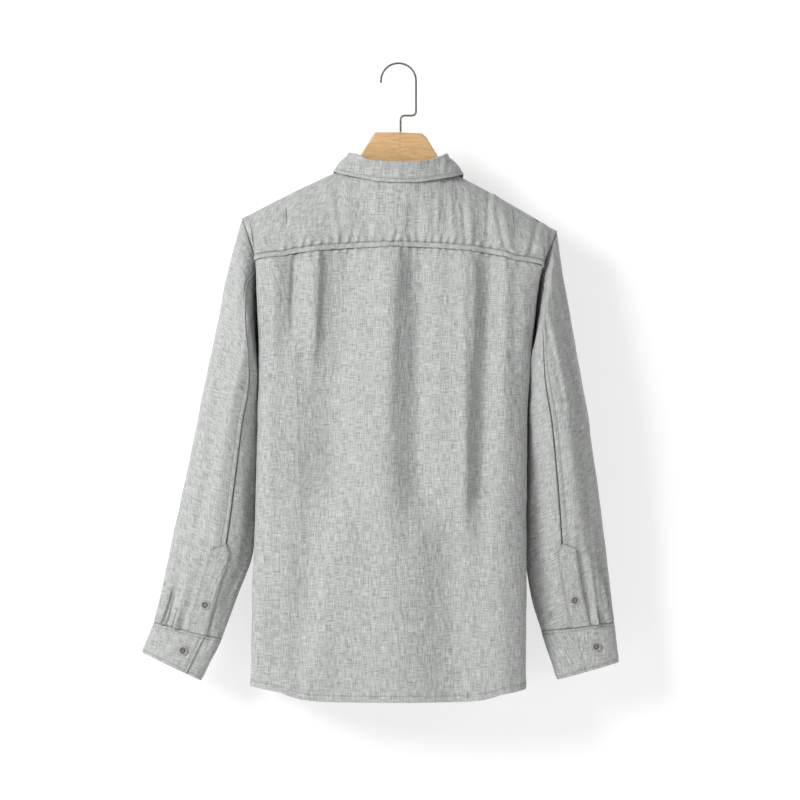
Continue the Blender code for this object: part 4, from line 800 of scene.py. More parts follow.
def stitch(line, normal, skip=0.0):
    """Adds a row of stitching along a line of points."""
    length = np.concatenate([[0], np.cumsum(np.linalg.norm(np.diff(line, axis=0), axis=1))])
    count = int((length[-1] - 2 * skip) / (STITCH_LONG + STITCH_GAP))
    middle = skip + (np.arange(count) + 0.5) * (STITCH_LONG + STITCH_GAP)

    def at(where, values):
        return np.stack([np.interp(where, length, values[:, i]) for i in range(3)], axis=-1)

    start, end = at(middle - STITCH_LONG / 2, line), at(middle + STITCH_LONG / 2, line)
    STITCHES.append((start, end, unit(at(middle, normal))))


def line_at(grid, normals, axis, distance, from_end=False):
    """The line on a grid at a distance from its first or last edge, with its normals."""
    if axis == 1:
        grid, normals = grid.swapaxes(0, 1), normals.swapaxes(0, 1)
    if from_end:
        grid, normals = grid[::-1], normals[::-1]
    run = runs(grid, 0)
    column = np.arange(grid.shape[1])
    before = np.clip((run <= distance).sum(axis=0) - 1, 0, len(grid) - 2)
    low, high = run[before, column], run[before + 1, column]
    share = np.clip((distance - low) / np.maximum(high - low, 1e-9), 0, 1)[:, None]
    line = mix(grid[before, column], grid[before + 1, column], share)
    return line, unit(mix(normals[before, column], normals[before + 1, column], share))


def mesh_object(name, vertices, faces, uvs):
    """An object from its corners, its four-sided faces and the place of each corner in the flat cut."""
    mesh = bpy.data.meshes.new(name)
    mesh.vertices.add(len(vertices))
    mesh.vertices.foreach_set("co", np.asarray(vertices, np.float32).ravel())
    flat = faces.ravel()
    mesh.loops.add(len(flat))
    mesh.loops.foreach_set("vertex_index", flat.astype(np.int32))
    mesh.polygons.add(len(faces))
    mesh.polygons.foreach_set("loop_start", np.arange(0, len(flat), 4, dtype=np.int32))
    mesh.update(calc_edges=True)
    mesh.validate()
    layer = mesh.uv_layers.new(name="cut")
    layer.data.foreach_set("uv", np.asarray(uvs, np.float32)[flat].ravel())
    mesh.shade_smooth()
    thing = bpy.data.objects.new(name, mesh)
    bpy.context.scene.collection.objects.link(thing)
    return thing


def cloth_piece(name, grid, outward, node, thick=CLOTH, turning=0.012, uv_from=(0.0, 0.0), painted_shade=0.0):
    """A cloth piece from the points of its outer face, with its edges turned in behind it."""
    rows, columns = grid.shape[:2]
    normals = facing(grid, outward)
    across, along = runs(grid, 1), runs(grid, 0)
    middle_row, middle_column = rows // 2, columns // 2
    u = across - across[:, middle_column : middle_column + 1] + uv_from[0]
    v = along - along[middle_row : middle_row + 1] + uv_from[1]
    edge = np.minimum.reduce([across, across[:, -1:] - across, along, along[-1:] - along])
    index = np.arange(rows * columns).reshape(rows, columns)
    around = [index[:-1, :-1], index[:-1, 1:], index[1:, 1:], index[1:, :-1]]
    around = np.stack(around, axis=-1).reshape(-1, 4)
    corner = grid.reshape(-1, 3)
    one_way = corner[around[:, 2]] - corner[around[:, 0]]
    other_way = corner[around[:, 3]] - corner[around[:, 1]]
    face_normal = np.cross(one_way, other_way)
    if (face_normal * normals.reshape(-1, 3)[around[:, 0]]).sum() < 0:
        around = around[:, ::-1]
    inner = (grid - normals * thick).reshape(-1, 3)
    near = (edge.reshape(-1)[around] < turning).all(axis=1)
    inner_faces = around[near][:, ::-1] + rows * columns
    rim = [index[0, :], index[:, -1], index[-1, ::-1], index[::-1, 0]]
    sides = []
    for line in rim:
        a, b = line[:-1], line[1:]
        sides.append(np.stack([a, a + rows * columns, b + rows * columns, b], axis=-1))
    sides = np.concatenate(sides)
    if not (around[0] == [index[0, 0], index[0, 1], index[1, 1], index[1, 0]]).all():
        sides = sides[:, ::-1]
    faces = np.concatenate([around, inner_faces, sides])
    vertices = np.concatenate([corner, inner])
    used = np.unique(faces)
    renumber = np.zeros(len(vertices), int)
    renumber[used] = np.arange(len(used))
    uvs = np.tile(np.stack([u, v], axis=-1).reshape(-1, 2), (2, 1))
    piece = mesh_object(name, vertices[used], renumber[faces], uvs[used])
    piece.data.materials.append(LINEN)
    # Painted shade: each outer point's attribute says how far its colour is darkened where shade falls;
    # the inner face gets none.
    deep = np.concatenate([np.broadcast_to(painted_shade, grid.shape[:2]).ravel(), np.zeros(rows * columns)])
    layer = piece.data.attributes.new("painted_shade", "FLOAT", "POINT")
    layer.data.foreach_set("value", np.clip(deep[used], 0, 1).astype(np.float32))
    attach(piece, "root")
    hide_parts(node)
    return piece, normals


def both_sides(surface, columns, steps):
    """A grid across the body, with columns from the left, below 0, to the right, above 0."""
    step, column = np.meshgrid(steps, columns, indexing="ij")
    left, right = surface(LEFT, -column, step), surface(RIGHT, column, step)
    return np.where((column < 0)[..., None], left, right)


def mirror(half):
    """Columns from -1 to 1 out of those from 0 to 1."""
    return np.concatenate([-half[:0:-1], half])


def past_centre(side, row):
    """The column of the front at which it ends beyond the centre front."""
    column = np.full_like(row, -0.06)
    for _ in range(8):
        x = side * front(side, column, row)[..., 0]
        column = column * BAND_HALF_WIDTH / -x
    return column


def lifted(surface, side, a, b, height):
    """Points above a surface, along its normal. The surface's normal is a's way crossed with b's."""
    step = 2e-3
    a, b = np.broadcast_arrays(np.asarray(a, float), np.asarray(b, float))
    along_a = surface(side, a + step, b) - surface(side, a - step, b)
    along_b = surface(side, a, np.minimum(b + step, 1)) - surface(side, a, np.maximum(b - step, 0))
    normal = unit(np.cross(along_a, along_b)) * np.asarray(height)[..., None]
    return surface(side, a, b) + normal, unit(normal)


# Folds of the yoke, each above its seam: soft ridges and, below 0, slits.
YOKE_SMALL_FOLDS = table(
    "top    low    top_x   low_x   wide_left wide_right depth",
    (0.205, 0.262, -0.1500, -0.1640, 0.004, 0.006, 0.0016),
    (0.210, 0.262, -0.1580, -0.1570, 0.004, 0.005, -0.0014),
    (0.195, 0.256, -0.0930, -0.0870, 0.004, 0.006, 0.0018),
    (0.205, 0.256, -0.0850, -0.0800, 0.003, 0.004, -0.0016),
    (0.190, 0.252, -0.0300, -0.0360, 0.005, 0.005, 0.0014),
    (0.200, 0.252, -0.0190, -0.0120, 0.004, 0.005, -0.0012),
    (0.185, 0.250, 0.0120, 0.0060, 0.006, 0.005, 0.0016),
    (0.195, 0.252, 0.0290, 0.0250, 0.004, 0.004, -0.0012),
    (0.180, 0.254, 0.0560, 0.0540, 0.004, 0.006, 0.0020),
    (0.190, 0.254, 0.0740, 0.0780, 0.004, 0.004, 0.0014),
    (0.215, 0.266, 0.0930, 0.0960, 0.0034, 0.0034, -0.0026),
    (0.210, 0.266, 0.0990, 0.1030, 0.0040, 0.0060, 0.0020),
    (0.185, 0.246, 0.1280, 0.1260, 0.0036, 0.0036, -0.0018),
    (0.180, 0.250, 0.1340, 0.1330, 0.0040, 0.0070, 0.0016),
    (0.226, 0.280, 0.1420, 0.1540, 0.0036, 0.0036, -0.0024),
    (0.220, 0.282, 0.1490, 0.1600, 0.0040, 0.0060, 0.0020),
    (0.222, 0.290, 0.1980, 0.1830, 0.0050, 0.0040, -0.0026),
)


GATHER_SPACING = 0.0085  # from one small gather along a seam to the next


def gathers(along, distance, reach, high, seed):
    """Short uneven ridges that start at a line of stitching and die away from it."""
    count = 160
    drawn = np.random.default_rng(seed).uniform(size=(4, count))
    low, long = float(along.min()), float(np.ptp(along))
    total = np.zeros_like(distance)
    for i in range(min(count, int(long / GATHER_SPACING))):
        place = low + (i + 0.2 + 0.6 * drawn[0, i]) * GATHER_SPACING
        wide, far = 0.0018 + 0.0016 * drawn[1, i], reach * (0.4 + drawn[2, i])
        lean = (drawn[3, i] - 0.5) * 0.9
        shape = groove(along - lean * distance, place, wide) * np.exp(-((distance / far) ** 2))
        total += high * (0.5 + drawn[2, i]) * shape
    return total * ease(-0.0012, 0.0012, distance)


def half_columns(finest):
    """Columns of one half of the back, from 0 at its middle to 1 at the armhole."""
    half = spread(0.56, 0.0011, finest, 0.010)
    half = half[half >= 0.5] * 2 - 1
    half[0] = 0.0
    return half


def make_back():
    """The back panel, with the pleats and puckers under the yoke."""
    half = half_columns(0.0017)
    rows = spread(0.64, 0.0009, 0.0046, 0.018)
    grid = both_sides(back, mirror(half), rows)
    x, drop = grid[..., 0], -grid[..., 2]
    down, up = from_ends(grid, 0)
    side = np.minimum(*from_ends(grid, 1))
    inside = ease(0.004, 0.030, side)
    height = FOLD_GAIN * fold_height(SMALL_FOLDS, x, drop) * inside
    height += 0.35 * fold_height(BACK_FOLDS, x, drop) * inside * (1 - ease(0.06, 0.12, x))
    height += puckers(x, down, False) * inside + pressed(x, drop)
    height += CRUMPLE * crumple(x, drop) * ease(0.0, 0.02, down) * ease(0.0, 0.01, up) * inside
    height -= 0.0018 * step_down(down, 0.0020, 0.0012)
    height += turning(up, HEM_BAND, 0.0008, 0.0006)
    height += gathers(x, up - HEM_BAND, 0.010, 0.00050, 3) * ease(0.0, 0.004, up)
    in_armhole = 1 - ease(-0.01, 0.01, drop - UNDERARM_DROP)
    height += in_armhole * turning(side, ARMHOLE_BAND, 0.0006, 0.0006)
    gathered = gathers(drop, side - ARMHOLE_BAND, 0.012, 0.00060, 5)
    height += in_armhole * gathered * ease(0.003, 0.006, side)
    grid = raised(grid, height, (0, -1, 0))
    # Painted shade: dark lines under the yoke's edge, along the hem's turning, at the sides and the
    # armhole, and a dark valley where the body meets the sleeves.
    painted_shade = groove(down, 0.0006, 0.0016)
    painted_shade += 0.35 * groove(up, HEM_BAND, 0.0008) + 0.4 * groove(side, 0.0, 0.0016)
    painted_shade += 0.3 * in_armhole * groove(side, ARMHOLE_BAND, 0.0009)
    painted_valley_shade = (1 - ease(0.002, 0.022, side)) * ease(0.270, 0.295, drop) * (1 - ease(0.38, 0.60, drop))
    painted_shade += painted_valley_shade * np.where(x < 0, 0.75, 0.40)
    piece, normals = cloth_piece("back", grid, (0, -1, 0), "back_panel", painted_shade=painted_shade)
    stitch(*line_at(grid, normals, 0, HEM_BAND - 0.001, True))
    above = rows < ARMHOLE_SHARE
    for end in (False, True):
        line, way = line_at(grid, normals, 1, ARMHOLE_BAND - 0.001, end)
        stitch(line[above], way[above])
    return piece


def make_yoke():
    """The yoke over the back, and its ends over both shoulders."""
    half = half_columns(0.0014)
    rows = spread(0.13, 0.0009, 0.0026, 0.026)
    grid = both_sides(yoke_behind, mirror(half), rows)
    x = grid[..., 0]
    up, down = from_ends(grid, 0)
    side = np.minimum(*from_ends(grid, 1))
    inside = ease(0.004, 0.030, side)
    past_band = ease(YOKE_BAND - 0.001, YOKE_BAND + 0.001, up)
    height = puckers(x, up - YOKE_BAND + 0.001, True) * inside * past_band
    near_edge = ease(0.006, 0.02, up) * ease(0.0, 0.01, down)
    height += CRUMPLE * crumple(x, grid[..., 2] * 0.8 + 0.3) * near_edge * inside
    past_band = ease(YOKE_BAND, YOKE_BAND + 0.006, up)
    height += FOLD_GAIN * fold_height(YOKE_SMALL_FOLDS, x, -grid[..., 2]) * inside * past_band
    height += 0.0012 * step_down(up, YOKE_BAND) - 0.0007 * groove(up, YOKE_BAND - 0.0006)
    height += turning(side, ARMHOLE_BAND, 0.0008, 0.0006)
    height += gathers(grid[..., 2], side - ARMHOLE_BAND, 0.014, 0.00060, 7) * ease(0.003, 0.006, side)
    grid = raised(grid, height, (0, -1, 0.3))
    grid[0] = grid[0] + unit(grid[0] - grid[1]) * 0.0012
    # Painted shade: dark lines along the yoke's seam band, the armhole's turning and the sides.
    painted_shade = 0.55 * groove(up, YOKE_BAND + 0.0006, 0.0010) + 0.35 * groove(side, ARMHOLE_BAND, 0.0009)
    painted_shade += 0.5 * groove(side, 0.0, 0.0016)
    piece, normals = cloth_piece(
        "yoke", grid, (0, -1, 0.3), "back_yoke", uv_from=(0.2, 0.9), painted_shade=painted_shade
    )
    stitch(*line_at(grid, normals, 0, YOKE_BAND + 0.0004))
    for end in (False, True):
        stitch(*line_at(grid, normals, 1, ARMHOLE_BAND - 0.001, end))
    pieces = [piece]
    for turned, word in ((LEFT, "left"), (RIGHT, "right")):
        column = NECK_COLUMN + (1 - NECK_COLUMN) * spread(0.17, 0.0011, 0.0040, 0.010)
        step, column = np.meshgrid(spread(0.040, 0.0011, 0.0022, 0.010), column, indexing="ij")
        grid = yoke_front(turned, column, step)
        side = from_ends(grid, 1)[1]
        low = from_ends(grid, 0)[1]
        height = turning(side, ARMHOLE_BAND, 0.0006, 0.0004)
        height += 0.0008 * step_down(low, YOKE_BAND) - 0.0005 * groove(low, YOKE_BAND - 0.0008)
        grid = raised(grid, height, (0, 1, 1))
        name = "yoke_front_" + word
        piece, normals = cloth_piece(name, grid, (0, 1, 1), "back_yoke", uv_from=(0.4, 0.7))
        stitch(*line_at(grid, normals, 0, YOKE_BAND - 0.0008, True))
        stitch(*line_at(grid, normals, 1, ARMHOLE_BAND - 0.001, True))
        pieces.append(piece)
    return pieces


def make_front(side):
    """One front, ending beside the centre front under or over the other."""
    word = "left" if side == LEFT else "right"
    rows = spread(0.70, 0.0010, 0.0050, 0.012)
    part = spread(0.27, 0.0011, 0.0036, 0.010)
    start = past_centre(side, rows)[:, None]
    row = np.repeat(rows[:, None], len(part), axis=1)
    grid = front(side, start + (1 - start) * part[None, :], row)
    x, drop = grid[..., 0], -grid[..., 2]
    top, low = from_ends(grid, 0)
    outer = from_ends(grid, 1)[1]
    inside = ease(0.004, 0.030, outer) * ease(0.0, 0.03, top) * ease(0.030, 0.050, np.abs(x))
    height = CRUMPLE * crumple(x + 0.7, drop) * inside
    height += FOLD_GAIN * fold_height(FRONT_SMALL_FOLDS, x, drop) * inside
    height += turning(low, HEM_BAND, 0.0006, 0.0004)
    height -= 0.0011 * step_down(top, 0.0012)
    in_armhole = 1 - ease(-0.01, 0.01, drop - UNDERARM_DROP)
    height += in_armhole * turning(outer, ARMHOLE_BAND, 0.0004, 0.0004)
    grid = raised(grid, height, (0, 1, 0))
    name = "front_" + word
    piece, normals = cloth_piece(name, grid, (0, 1, 0), name, uv_from=(0.9 + side * 0.3, 0.2))
    stitch(*line_at(grid, normals, 0, HEM_BAND - 0.001, True))
    above = rows < ARMHOLE_SHARE
    line, way = line_at(grid, normals, 1, ARMHOLE_BAND - 0.001, True)
    stitch(line[above], way[above])
    return piece


FRONT_SMALL_FOLDS = table(
    "top    low    top_x   low_x   wide_left wide_right depth",
    (0.280, 0.480, -0.1560, -0.1500, 0.010, 0.014, 0.0020),
    (0.270, 0.420, -0.0960, -0.0900, 0.012, 0.008, -0.0018),
    (0.420, 0.800, -0.1400, -0.1460, 0.014, 0.010, 0.0022),
    (0.480, 0.860, -0.0600, -0.0560, 0.016, 0.012, -0.0014),
    (0.270, 0.500, 0.0900, 0.0860, 0.010, 0.014, 0.0022),
    (0.300, 0.560, 0.1500, 0.1420, 0.012, 0.008, -0.0020),
    (0.460, 0.820, 0.1340, 0.1380, 0.012, 0.016, 0.0022),
    (0.520, 0.880, 0.0640, 0.0600, 0.012, 0.014, -0.0014),
)

# Smaller folds of the sleeves, as SLEEVE_FOLDS.
SLEEVE_SMALL_FOLDS = {
    LEFT: table(
        "start end   from_angle to_angle wide depth",
        (0.02, 0.16, 74, 60, 6, 0.0016),
        (0.02, 0.20, 48, 40, 7, -0.0018),
        (0.03, 0.22, 24, 22, 7, 0.0016),
        (0.12, 0.42, 86, 80, 6, -0.0018),
        (0.25, 0.60, 44, 50, 7, 0.0018),
        (0.40, 0.72, 74, 64, 6, -0.0016),
        (0.50, 0.90, 22, 30, 6, -0.0018),
        (0.62, 0.98, 52, 60, 5, 0.0018),
        (0.72, 1.00, 84, 80, 5, -0.0016),
        (0.82, 1.02, 66, 70, 4, 0.0018),
        (0.84, 1.02, 24, 22, 4, -0.0016),
        (0.30, 0.66, 150, 156, 8, 0.0020),
        (0.20, 0.60, 210, 204, 9, -0.0020),
        (0.50, 0.95, 262, 268, 9, 0.0022),
        (0.60, 0.98, 320, 316, 8, -0.0018),
        (0.82, 1.02, 300, 296, 5, 0.0018),
    ),
    RIGHT: table(
        "start end   from_angle to_angle wide depth",
        (0.02, 0.18, 60, 54, 6, 0.0016),
        (0.02, 0.22, 36, 30, 7, -0.0018),
        (0.05, 0.26, 16, 14, 6, 0.0014),
        (0.14, 0.44, 78, 74, 6, -0.0018),
        (0.28, 0.62, 34, 38, 7, 0.0018),
        (0.42, 0.74, 60, 52, 6, -0.0016),
        (0.52, 0.92, 14, 20, 6, -0.0016),
        (0.64, 0.98, 40, 48, 5, 0.0018),
        (0.74, 1.00, 70, 66, 5, -0.0014),
        (0.82, 1.02, 56, 58, 4, 0.0018),
        (0.84, 1.02, 12, 12, 4, -0.0016),
        (0.30, 0.66, 140, 146, 8, 0.0020),
        (0.20, 0.60, 212, 206, 9, -0.0020),
        (0.50, 0.95, 262, 268, 9, 0.0022),
        (0.60, 0.98, 320, 316, 8, -0.0018),
        (0.82, 1.02, 300, 296, 5, 0.0018),
    ),
}


# Pleats let into each cuff: degrees round the ring at the cuff, and how far up the sleeve they reach.
PLEATS = {LEFT: ((42.0, 0.10), (66.0, 0.045)), RIGHT: ((30.0, 0.13), (57.0, 0.04))}
PLEAT_DEPTH = 0.0052
PLEAT_DRIFT = 18  # degrees from the cuff to where the pleat would meet the armhole


def small_sleeve_fold(side, angle, along):
    """The height of a sleeve's small folds."""
    height = np.zeros(np.broadcast(angle, along).shape)
    for start, end, from_angle, to_angle, wide, depth in zip(*SLEEVE_SMALL_FOLDS[side].values()):
        centre = mix(from_angle, to_angle, (along - start) / (end - start))
        offset = (angle - centre + 180) % 360 - 180
        begun, ended = ease(start - 0.03, start + 0.05, along), ease(end - 0.05, end + 0.03, along)
        height = height + depth * np.exp(-((offset / wide) ** 2)) * begun * (1 - ended)
    return height


def make_sleeve(side):
    """The top and the under piece of a sleeve, with the top's pleats at the cuff."""
    word = "left" if side == LEFT else "right"
    pieces = []
    under_share = UNDERARM_TURN - BACK_SEAM_TURN
    top_share = 1 + BACK_SEAM_TURN - UNDERARM_TURN
    top_turns = UNDERARM_TURN + top_share * spread(0.30, 0.0011, 0.0025, 0.012)
    under_turns = BACK_SEAM_TURN + under_share * spread(0.15, 0.0011, 0.0028, 0.012)
    along = spread(0.60, 0.0011, 0.0038, 0.014)
    for name, turns in (("top", top_turns), ("under", under_turns)):
        turn, step = np.meshgrid(turns, along, indexing="ij")
        grid = sleeve(side, turn, step)
        outward = grid[len(turns) // 2, len(along) // 2] - grid.mean(axis=(0, 1))
        if name == "under":
            outward = np.array([-side * 0.6, -0.8, 0.0])
        start, end = from_ends(grid, 1)
        underarm, seam = from_ends(grid, 0)
        if name == "under":
            underarm, seam = seam, underarm
        inside = ease(0.002, 0.02, start) * ease(0.003, 0.012, seam) * ease(0.0, 0.012, underarm)
        angle = ring_angle(side, turn % 1.0, step)
        height = FOLD_GAIN * small_sleeve_fold(side, angle, step) * inside
        height += CRUMPLE * crumple(turn * 0.35 + 0.2 * side, -grid[..., 2], 0.5) * inside
        across = turn * float(runs(grid, 0)[-1].max())
        gathered = gathers(across, start, 0.016, 0.0008, 11 + side)
        height += gathered * ease(0.002, 0.006, start) * inside
        gathered = gathers(across, end, 0.014, 0.0009, 21 + side)
        height += gathered * ease(0.001, 0.004, end) * inside
        height -= 0.0012 * step_down(start, 0.0016, 0.0010)
        if name == "top":
            height += turning(seam, SEAM_BAND, 0.0012, 0.0007)
            gathered = gathers(step * 0.6, seam - SEAM_BAND, 0.007, 0.0005, 31 + side)
            height += gathered * ease(0.0, 0.03, end)
        else:
            height -= 0.0014 * step_down(seam, 0.0018, 0.0012)
        # Painted shade: dark at the armhole and cuff seams, along the back seam and in the pleats' slits,
        # and a dark valley where the under piece faces the body.
        painted_shade = 0.8 * groove(start, 0.0, 0.0022) + 0.7 * groove(end, 0.0, 0.0016)
        if name == "top":
            painted_shade += 0.4 * groove(seam, SEAM_BAND + 0.0004, 0.0009)
            for slit, deep in PLEATS[side]:
                offset = (angle - slit - PLEAT_DRIFT * (1 - step) + 180) % 360 - 180
                reach = ease(1 - deep - 0.02, 1 - deep + 0.03, step)
                height += reach * PLEAT_DEPTH * ease(-1.8, 0.4, offset) * (1 - ease(0.4, 17.0, offset))
                painted_shade += 1.2 * reach * groove(offset, -1.6, 1.6)
        else:
            painted_shade += 1.0 * groove(seam, 0.0002, 0.0020)
            painted_valley_shade = ease(0.020, 0.050, seam) * ease(0.0, 0.06, step) * (1 - ease(0.30, 0.60, step))
            painted_shade += painted_valley_shade * (0.75 if side == LEFT else 0.40)
        grid = raised(grid, height, outward)
        node = "sleeve_" + name + "_" + word
        piece, normals = cloth_piece(
            node, grid, outward, node, uv_from=(1.4, 0.4 * side), painted_shade=painted_shade
        )
        if name == "top":
            line, way = line_at(grid, normals, 0, SEAM_BAND - 0.001, True)
            above = along < PLACKET_START - 0.005
            stitch(line[above], way[above])
        pieces.append(piece)
    return pieces


def make_cuff(side):
    """A cuff, from the end that lies under to the end that laps it."""
    word = "left" if side == LEFT else "right"
    start, end = cuff_angles(side)
    share = spread(0.28, 0.0010, 0.0030, 0.008)
    down = spread(0.054, 0.0009, 0.0018, 0.008)
    step, angle = np.meshgrid(down, start + (end - start) * share, indexing="ij")
    grid = cuff(side, angle, step)
    outward = grid[len(down) // 2, len(share) // 2] - grid.mean(axis=(0, 1))
    top, low = from_ends(grid, 0)
    under, lap = from_ends(grid, 1)
    stitched = groove(top, CUFF_STITCH) + groove(low, CUFF_STITCH) + groove(lap, CUFF_STITCH)
    height = -0.0005 * stitched
    edge = np.minimum.reduce([top, low, lap, under])
    height -= rolled(edge)
    around = angle / 500  # about the distance round the cuff
    height += CRUMPLE * 0.6 * crumple(around, step * 0.06, 1.0) * ease(0.004, 0.01, edge)
    for distance, seed in ((top, 41), (low, 51)):
        gathered = gathers(around, distance - CUFF_STITCH, 0.008, 0.0005, seed + side)
        height += gathered * ease(0.0, 0.01, lap)
    grid = raised(grid, height, outward)
    # Painted shade along the cuff's sunken stitching.
    painted_shade = 0.35 * stitched
    piece, normals = cloth_piece(
        "cuff_band_" + word, grid, outward, "cuff_" + word, 0.0022, 1.0, (1.8, 0.3 * side), painted_shade
    )
    stitch(*line_at(grid, normals, 0, CUFF_STITCH), 0.004)
    stitch(*line_at(grid, normals, 0, CUFF_STITCH, True), 0.004)
    stitch(*line_at(grid, normals, 1, CUFF_STITCH, True), 0.004)
    return piece


STAND_STITCH = 0.0022  # from the band's lower edge
# Wrinkles of the turned-down collar: x, slant, width, height.
COLLAR_WRINKLES = (
    (0.061, 0.15, 0.0035, 0.0016),
    (0.070, 0.1, 0.003, -0.0008),
    (-0.052, -0.2, 0.005, 0.0008),
)


def make_collar():
    """The collar's band and the turned-down collar over it."""
    end = float(mix(180.0, FRONT_YOKE_ANGLE, past_centre(RIGHT, np.zeros(1))[0] / NECK_COLUMN))
    half = end * np.concatenate([[0.0], spread(0.40, 0.0014, 0.0026, 0.010)[1:]])
    grid = both_sides(stand, mirror(half), spread(0.030, 0.0010, 0.0018, 0.008))
    grid = raised(grid, -0.0004 * groove(runs(grid, 0), STAND_STITCH), (0, -1, 0))
    stand_piece, normals = cloth_piece(
        "collar_band", grid, (0, -1, 0), "collar_stand", 0.0014, 1.0, (0.3, 1.6)
    )
    stitch(*line_at(grid, normals, 0, STAND_STITCH), 0.004)
    half = LEAF_END_ANGLE * np.concatenate([[0.0], spread(0.34, 0.0012, 0.0026, 0.010)[1:]])
    fold = np.linspace(0, LEAF_ROLL["down"][-1], 12)
    fall = fold[-1] + (1 - fold[-1]) * spread(0.045, 0.0009, 0.0020, 0.009)[1:]
    grid = both_sides(leaf, mirror(half), np.concatenate([fold, fall]))
    low = from_ends(grid, 0)[1]
    edge = np.minimum(low, np.minimum(*from_ends(grid, 1)))
    height = -0.0005 * groove(edge, COLLAR_STITCH)
    height += 0.0005 * step_down(edge, COLLAR_STITCH)
    height -= rolled(edge)
    x = grid[..., 0]
    behind = (grid[..., 1] < 0.01) * ease(0.004, 0.012, low)
    for place, slant, wide, high in COLLAR_WRINKLES:
        height += high * groove(x - slant * low, place, wide) * behind
    uneven = crumple(x, grid[..., 2] * 1.2 + grid[..., 1], 1.0)
    height += CRUMPLE * 0.7 * uneven * ease(0.004, 0.01, edge)
    grid = raised(grid, height, (0, -1, 0))
    # Painted shade along the sunken stitching near the collar's edges.
    painted_shade = 0.35 * groove(edge, COLLAR_STITCH + 0.0004)
    leaf_piece, normals = cloth_piece(
        "collar", grid, (0, -1, 0), "collar_leaf", 0.0014, 1.0, (0.0, 1.3), painted_shade
    )
    stitch(*line_at(grid, normals, 0, COLLAR_STITCH, True), COLLAR_STITCH)
    for far in (False, True):
        stitch(*line_at(grid, normals, 1, COLLAR_STITCH, far), COLLAR_STITCH)
    return stand_piece, leaf_piece


def make_front_band():
    """The buttonhole band on the left front."""
    rows = spread(0.68, 0.0012, 0.0045, 0.010)
    rows = np.maximum(rows, PLACKET_TOP)
    past = past_centre(LEFT, rows)
    share = spread(0.032, 0.0008, 0.0016, 0.008) * 2 - 1
    column = past[:, None] * share[None, ::-1]
    row = np.repeat(rows[:, None], len(share), axis=1)
    grid, _ = lifted(front, LEFT, column, row, -np.array(STIFF_CLOTH + 2 * LAY_GAP))
    edge = np.minimum(*from_ends(grid, 1))
    height = -0.0005 * groove(edge, FRONT_BAND_STITCH)
    grid = raised(grid, height, (0, 1, 0))
    piece, normals = cloth_piece(
        "front_band", grid, (0, 1, 0), "front_placket", 0.0014, 1.0, (0.6, 1.9)
    )
    for far in (False, True):
        stitch(*line_at(grid, normals, 1, FRONT_BAND_STITCH, far), 0.003)
    return piece


def placket_turn(side, along, across):
    """The places round the sleeve that are so far across from its back seam, towards the underarm."""
    along, across = np.atleast_1d(along), np.atleast_2d(across)
    turns = BACK_SEAM_TURN + np.linspace(-0.16, 0.06, 89)
    turn, step = np.meshgrid(turns, along)
    length = runs(sleeve(side, turn, step), 1)
    placed = []
    for line, wanted in zip(length, np.broadcast_to(across, (len(along), across.shape[1]))):
        placed.append(np.interp(wanted + np.interp(BACK_SEAM_TURN, turns, line), line, turns))
    return np.array(placed)


PLACKET_END = 0.9992
PLACKET_STITCH = 0.0022  # from the placket's edges


def make_sleeve_band(side):
    """The tower placket: straight sides under a point."""
    word = "left" if side == LEFT else "right"
    tip = PLACKET_OVER - PLACKET_TIP * PLACKET_WIDTH
    point = np.linspace(PLACKET_START, PLACKET_SHOULDER, 14)[:-1]
    straight = PLACKET_SHOULDER + (PLACKET_END - PLACKET_SHOULDER) * spread(0.11, 0.001, 0.0026, 0.006)
    along = np.concatenate([point, straight])
    share = np.linspace(0, 1, 25)
    opened = np.clip((along - PLACKET_START) / (PLACKET_SHOULDER - PLACKET_START), 0.04, 1)[:, None]
    inner = mix(tip, PLACKET_OVER - PLACKET_WIDTH, opened)
    across = mix(inner, mix(tip, PLACKET_OVER, opened), share)
    turn = placket_turn(side, along, across)
    place = np.repeat(along[:, None], len(share), axis=1)
    grid, _ = lifted(sleeve, side, turn, place, np.array(side * (CLOTH + PLACKET_LIFT)))
    edge = np.minimum(*from_ends(grid, 1))
    top, low = from_ends(grid, 0)
    height = 0.0008 - 0.0005 * groove(edge, PLACKET_STITCH) * ease(0.004, 0.012, top)
    height -= 0.0006 * (1 - ease(0, 0.0012, np.minimum(edge, low)))
    height += gathers(top, edge - 0.0024, 0.007, 0.0005, 61 + side) * ease(0.010, 0.02, top)
    outward = (side * 0.3, -1, 0)
    grid = raised(grid, height, outward)
    node = "sleeve_placket_" + word
    # Painted shade along the placket's stitching and at its free edge, where it lies over the sleeve.
    painted_shade = 0.35 * groove(edge, 0.0024, 0.0008) + 0.5 * groove(edge, 0.0, 0.0008)
    piece, normals = cloth_piece(
        "sleeve_band_" + word, grid, outward, node, 0.0012, 1.0, (1.2, 1.5), painted_shade
    )
    from_tip = along > PLACKET_SHOULDER - 0.012
    for far in (False, True):
        line, way = line_at(grid, normals, 1, PLACKET_STITCH, far)
        stitch(line[from_tip], way[from_tip], 0.001)
    for place in (0.028, 0.034):
        line, way = line_at(grid, normals, 0, place)
        stitch(line[2:-2], way[2:-2], 0.001)
    return piece


# One stitch: share of its length, share of its width, and height of its middle.
STITCH_SHAPE = (
    (0.0, 0.35, -0.00010),
    (0.22, 1.0, 0.00022),
    (0.5, 1.0, 0.00030),
    (0.78, 1.0, 0.00022),
    (1.0, 0.35, -0.00010),
)


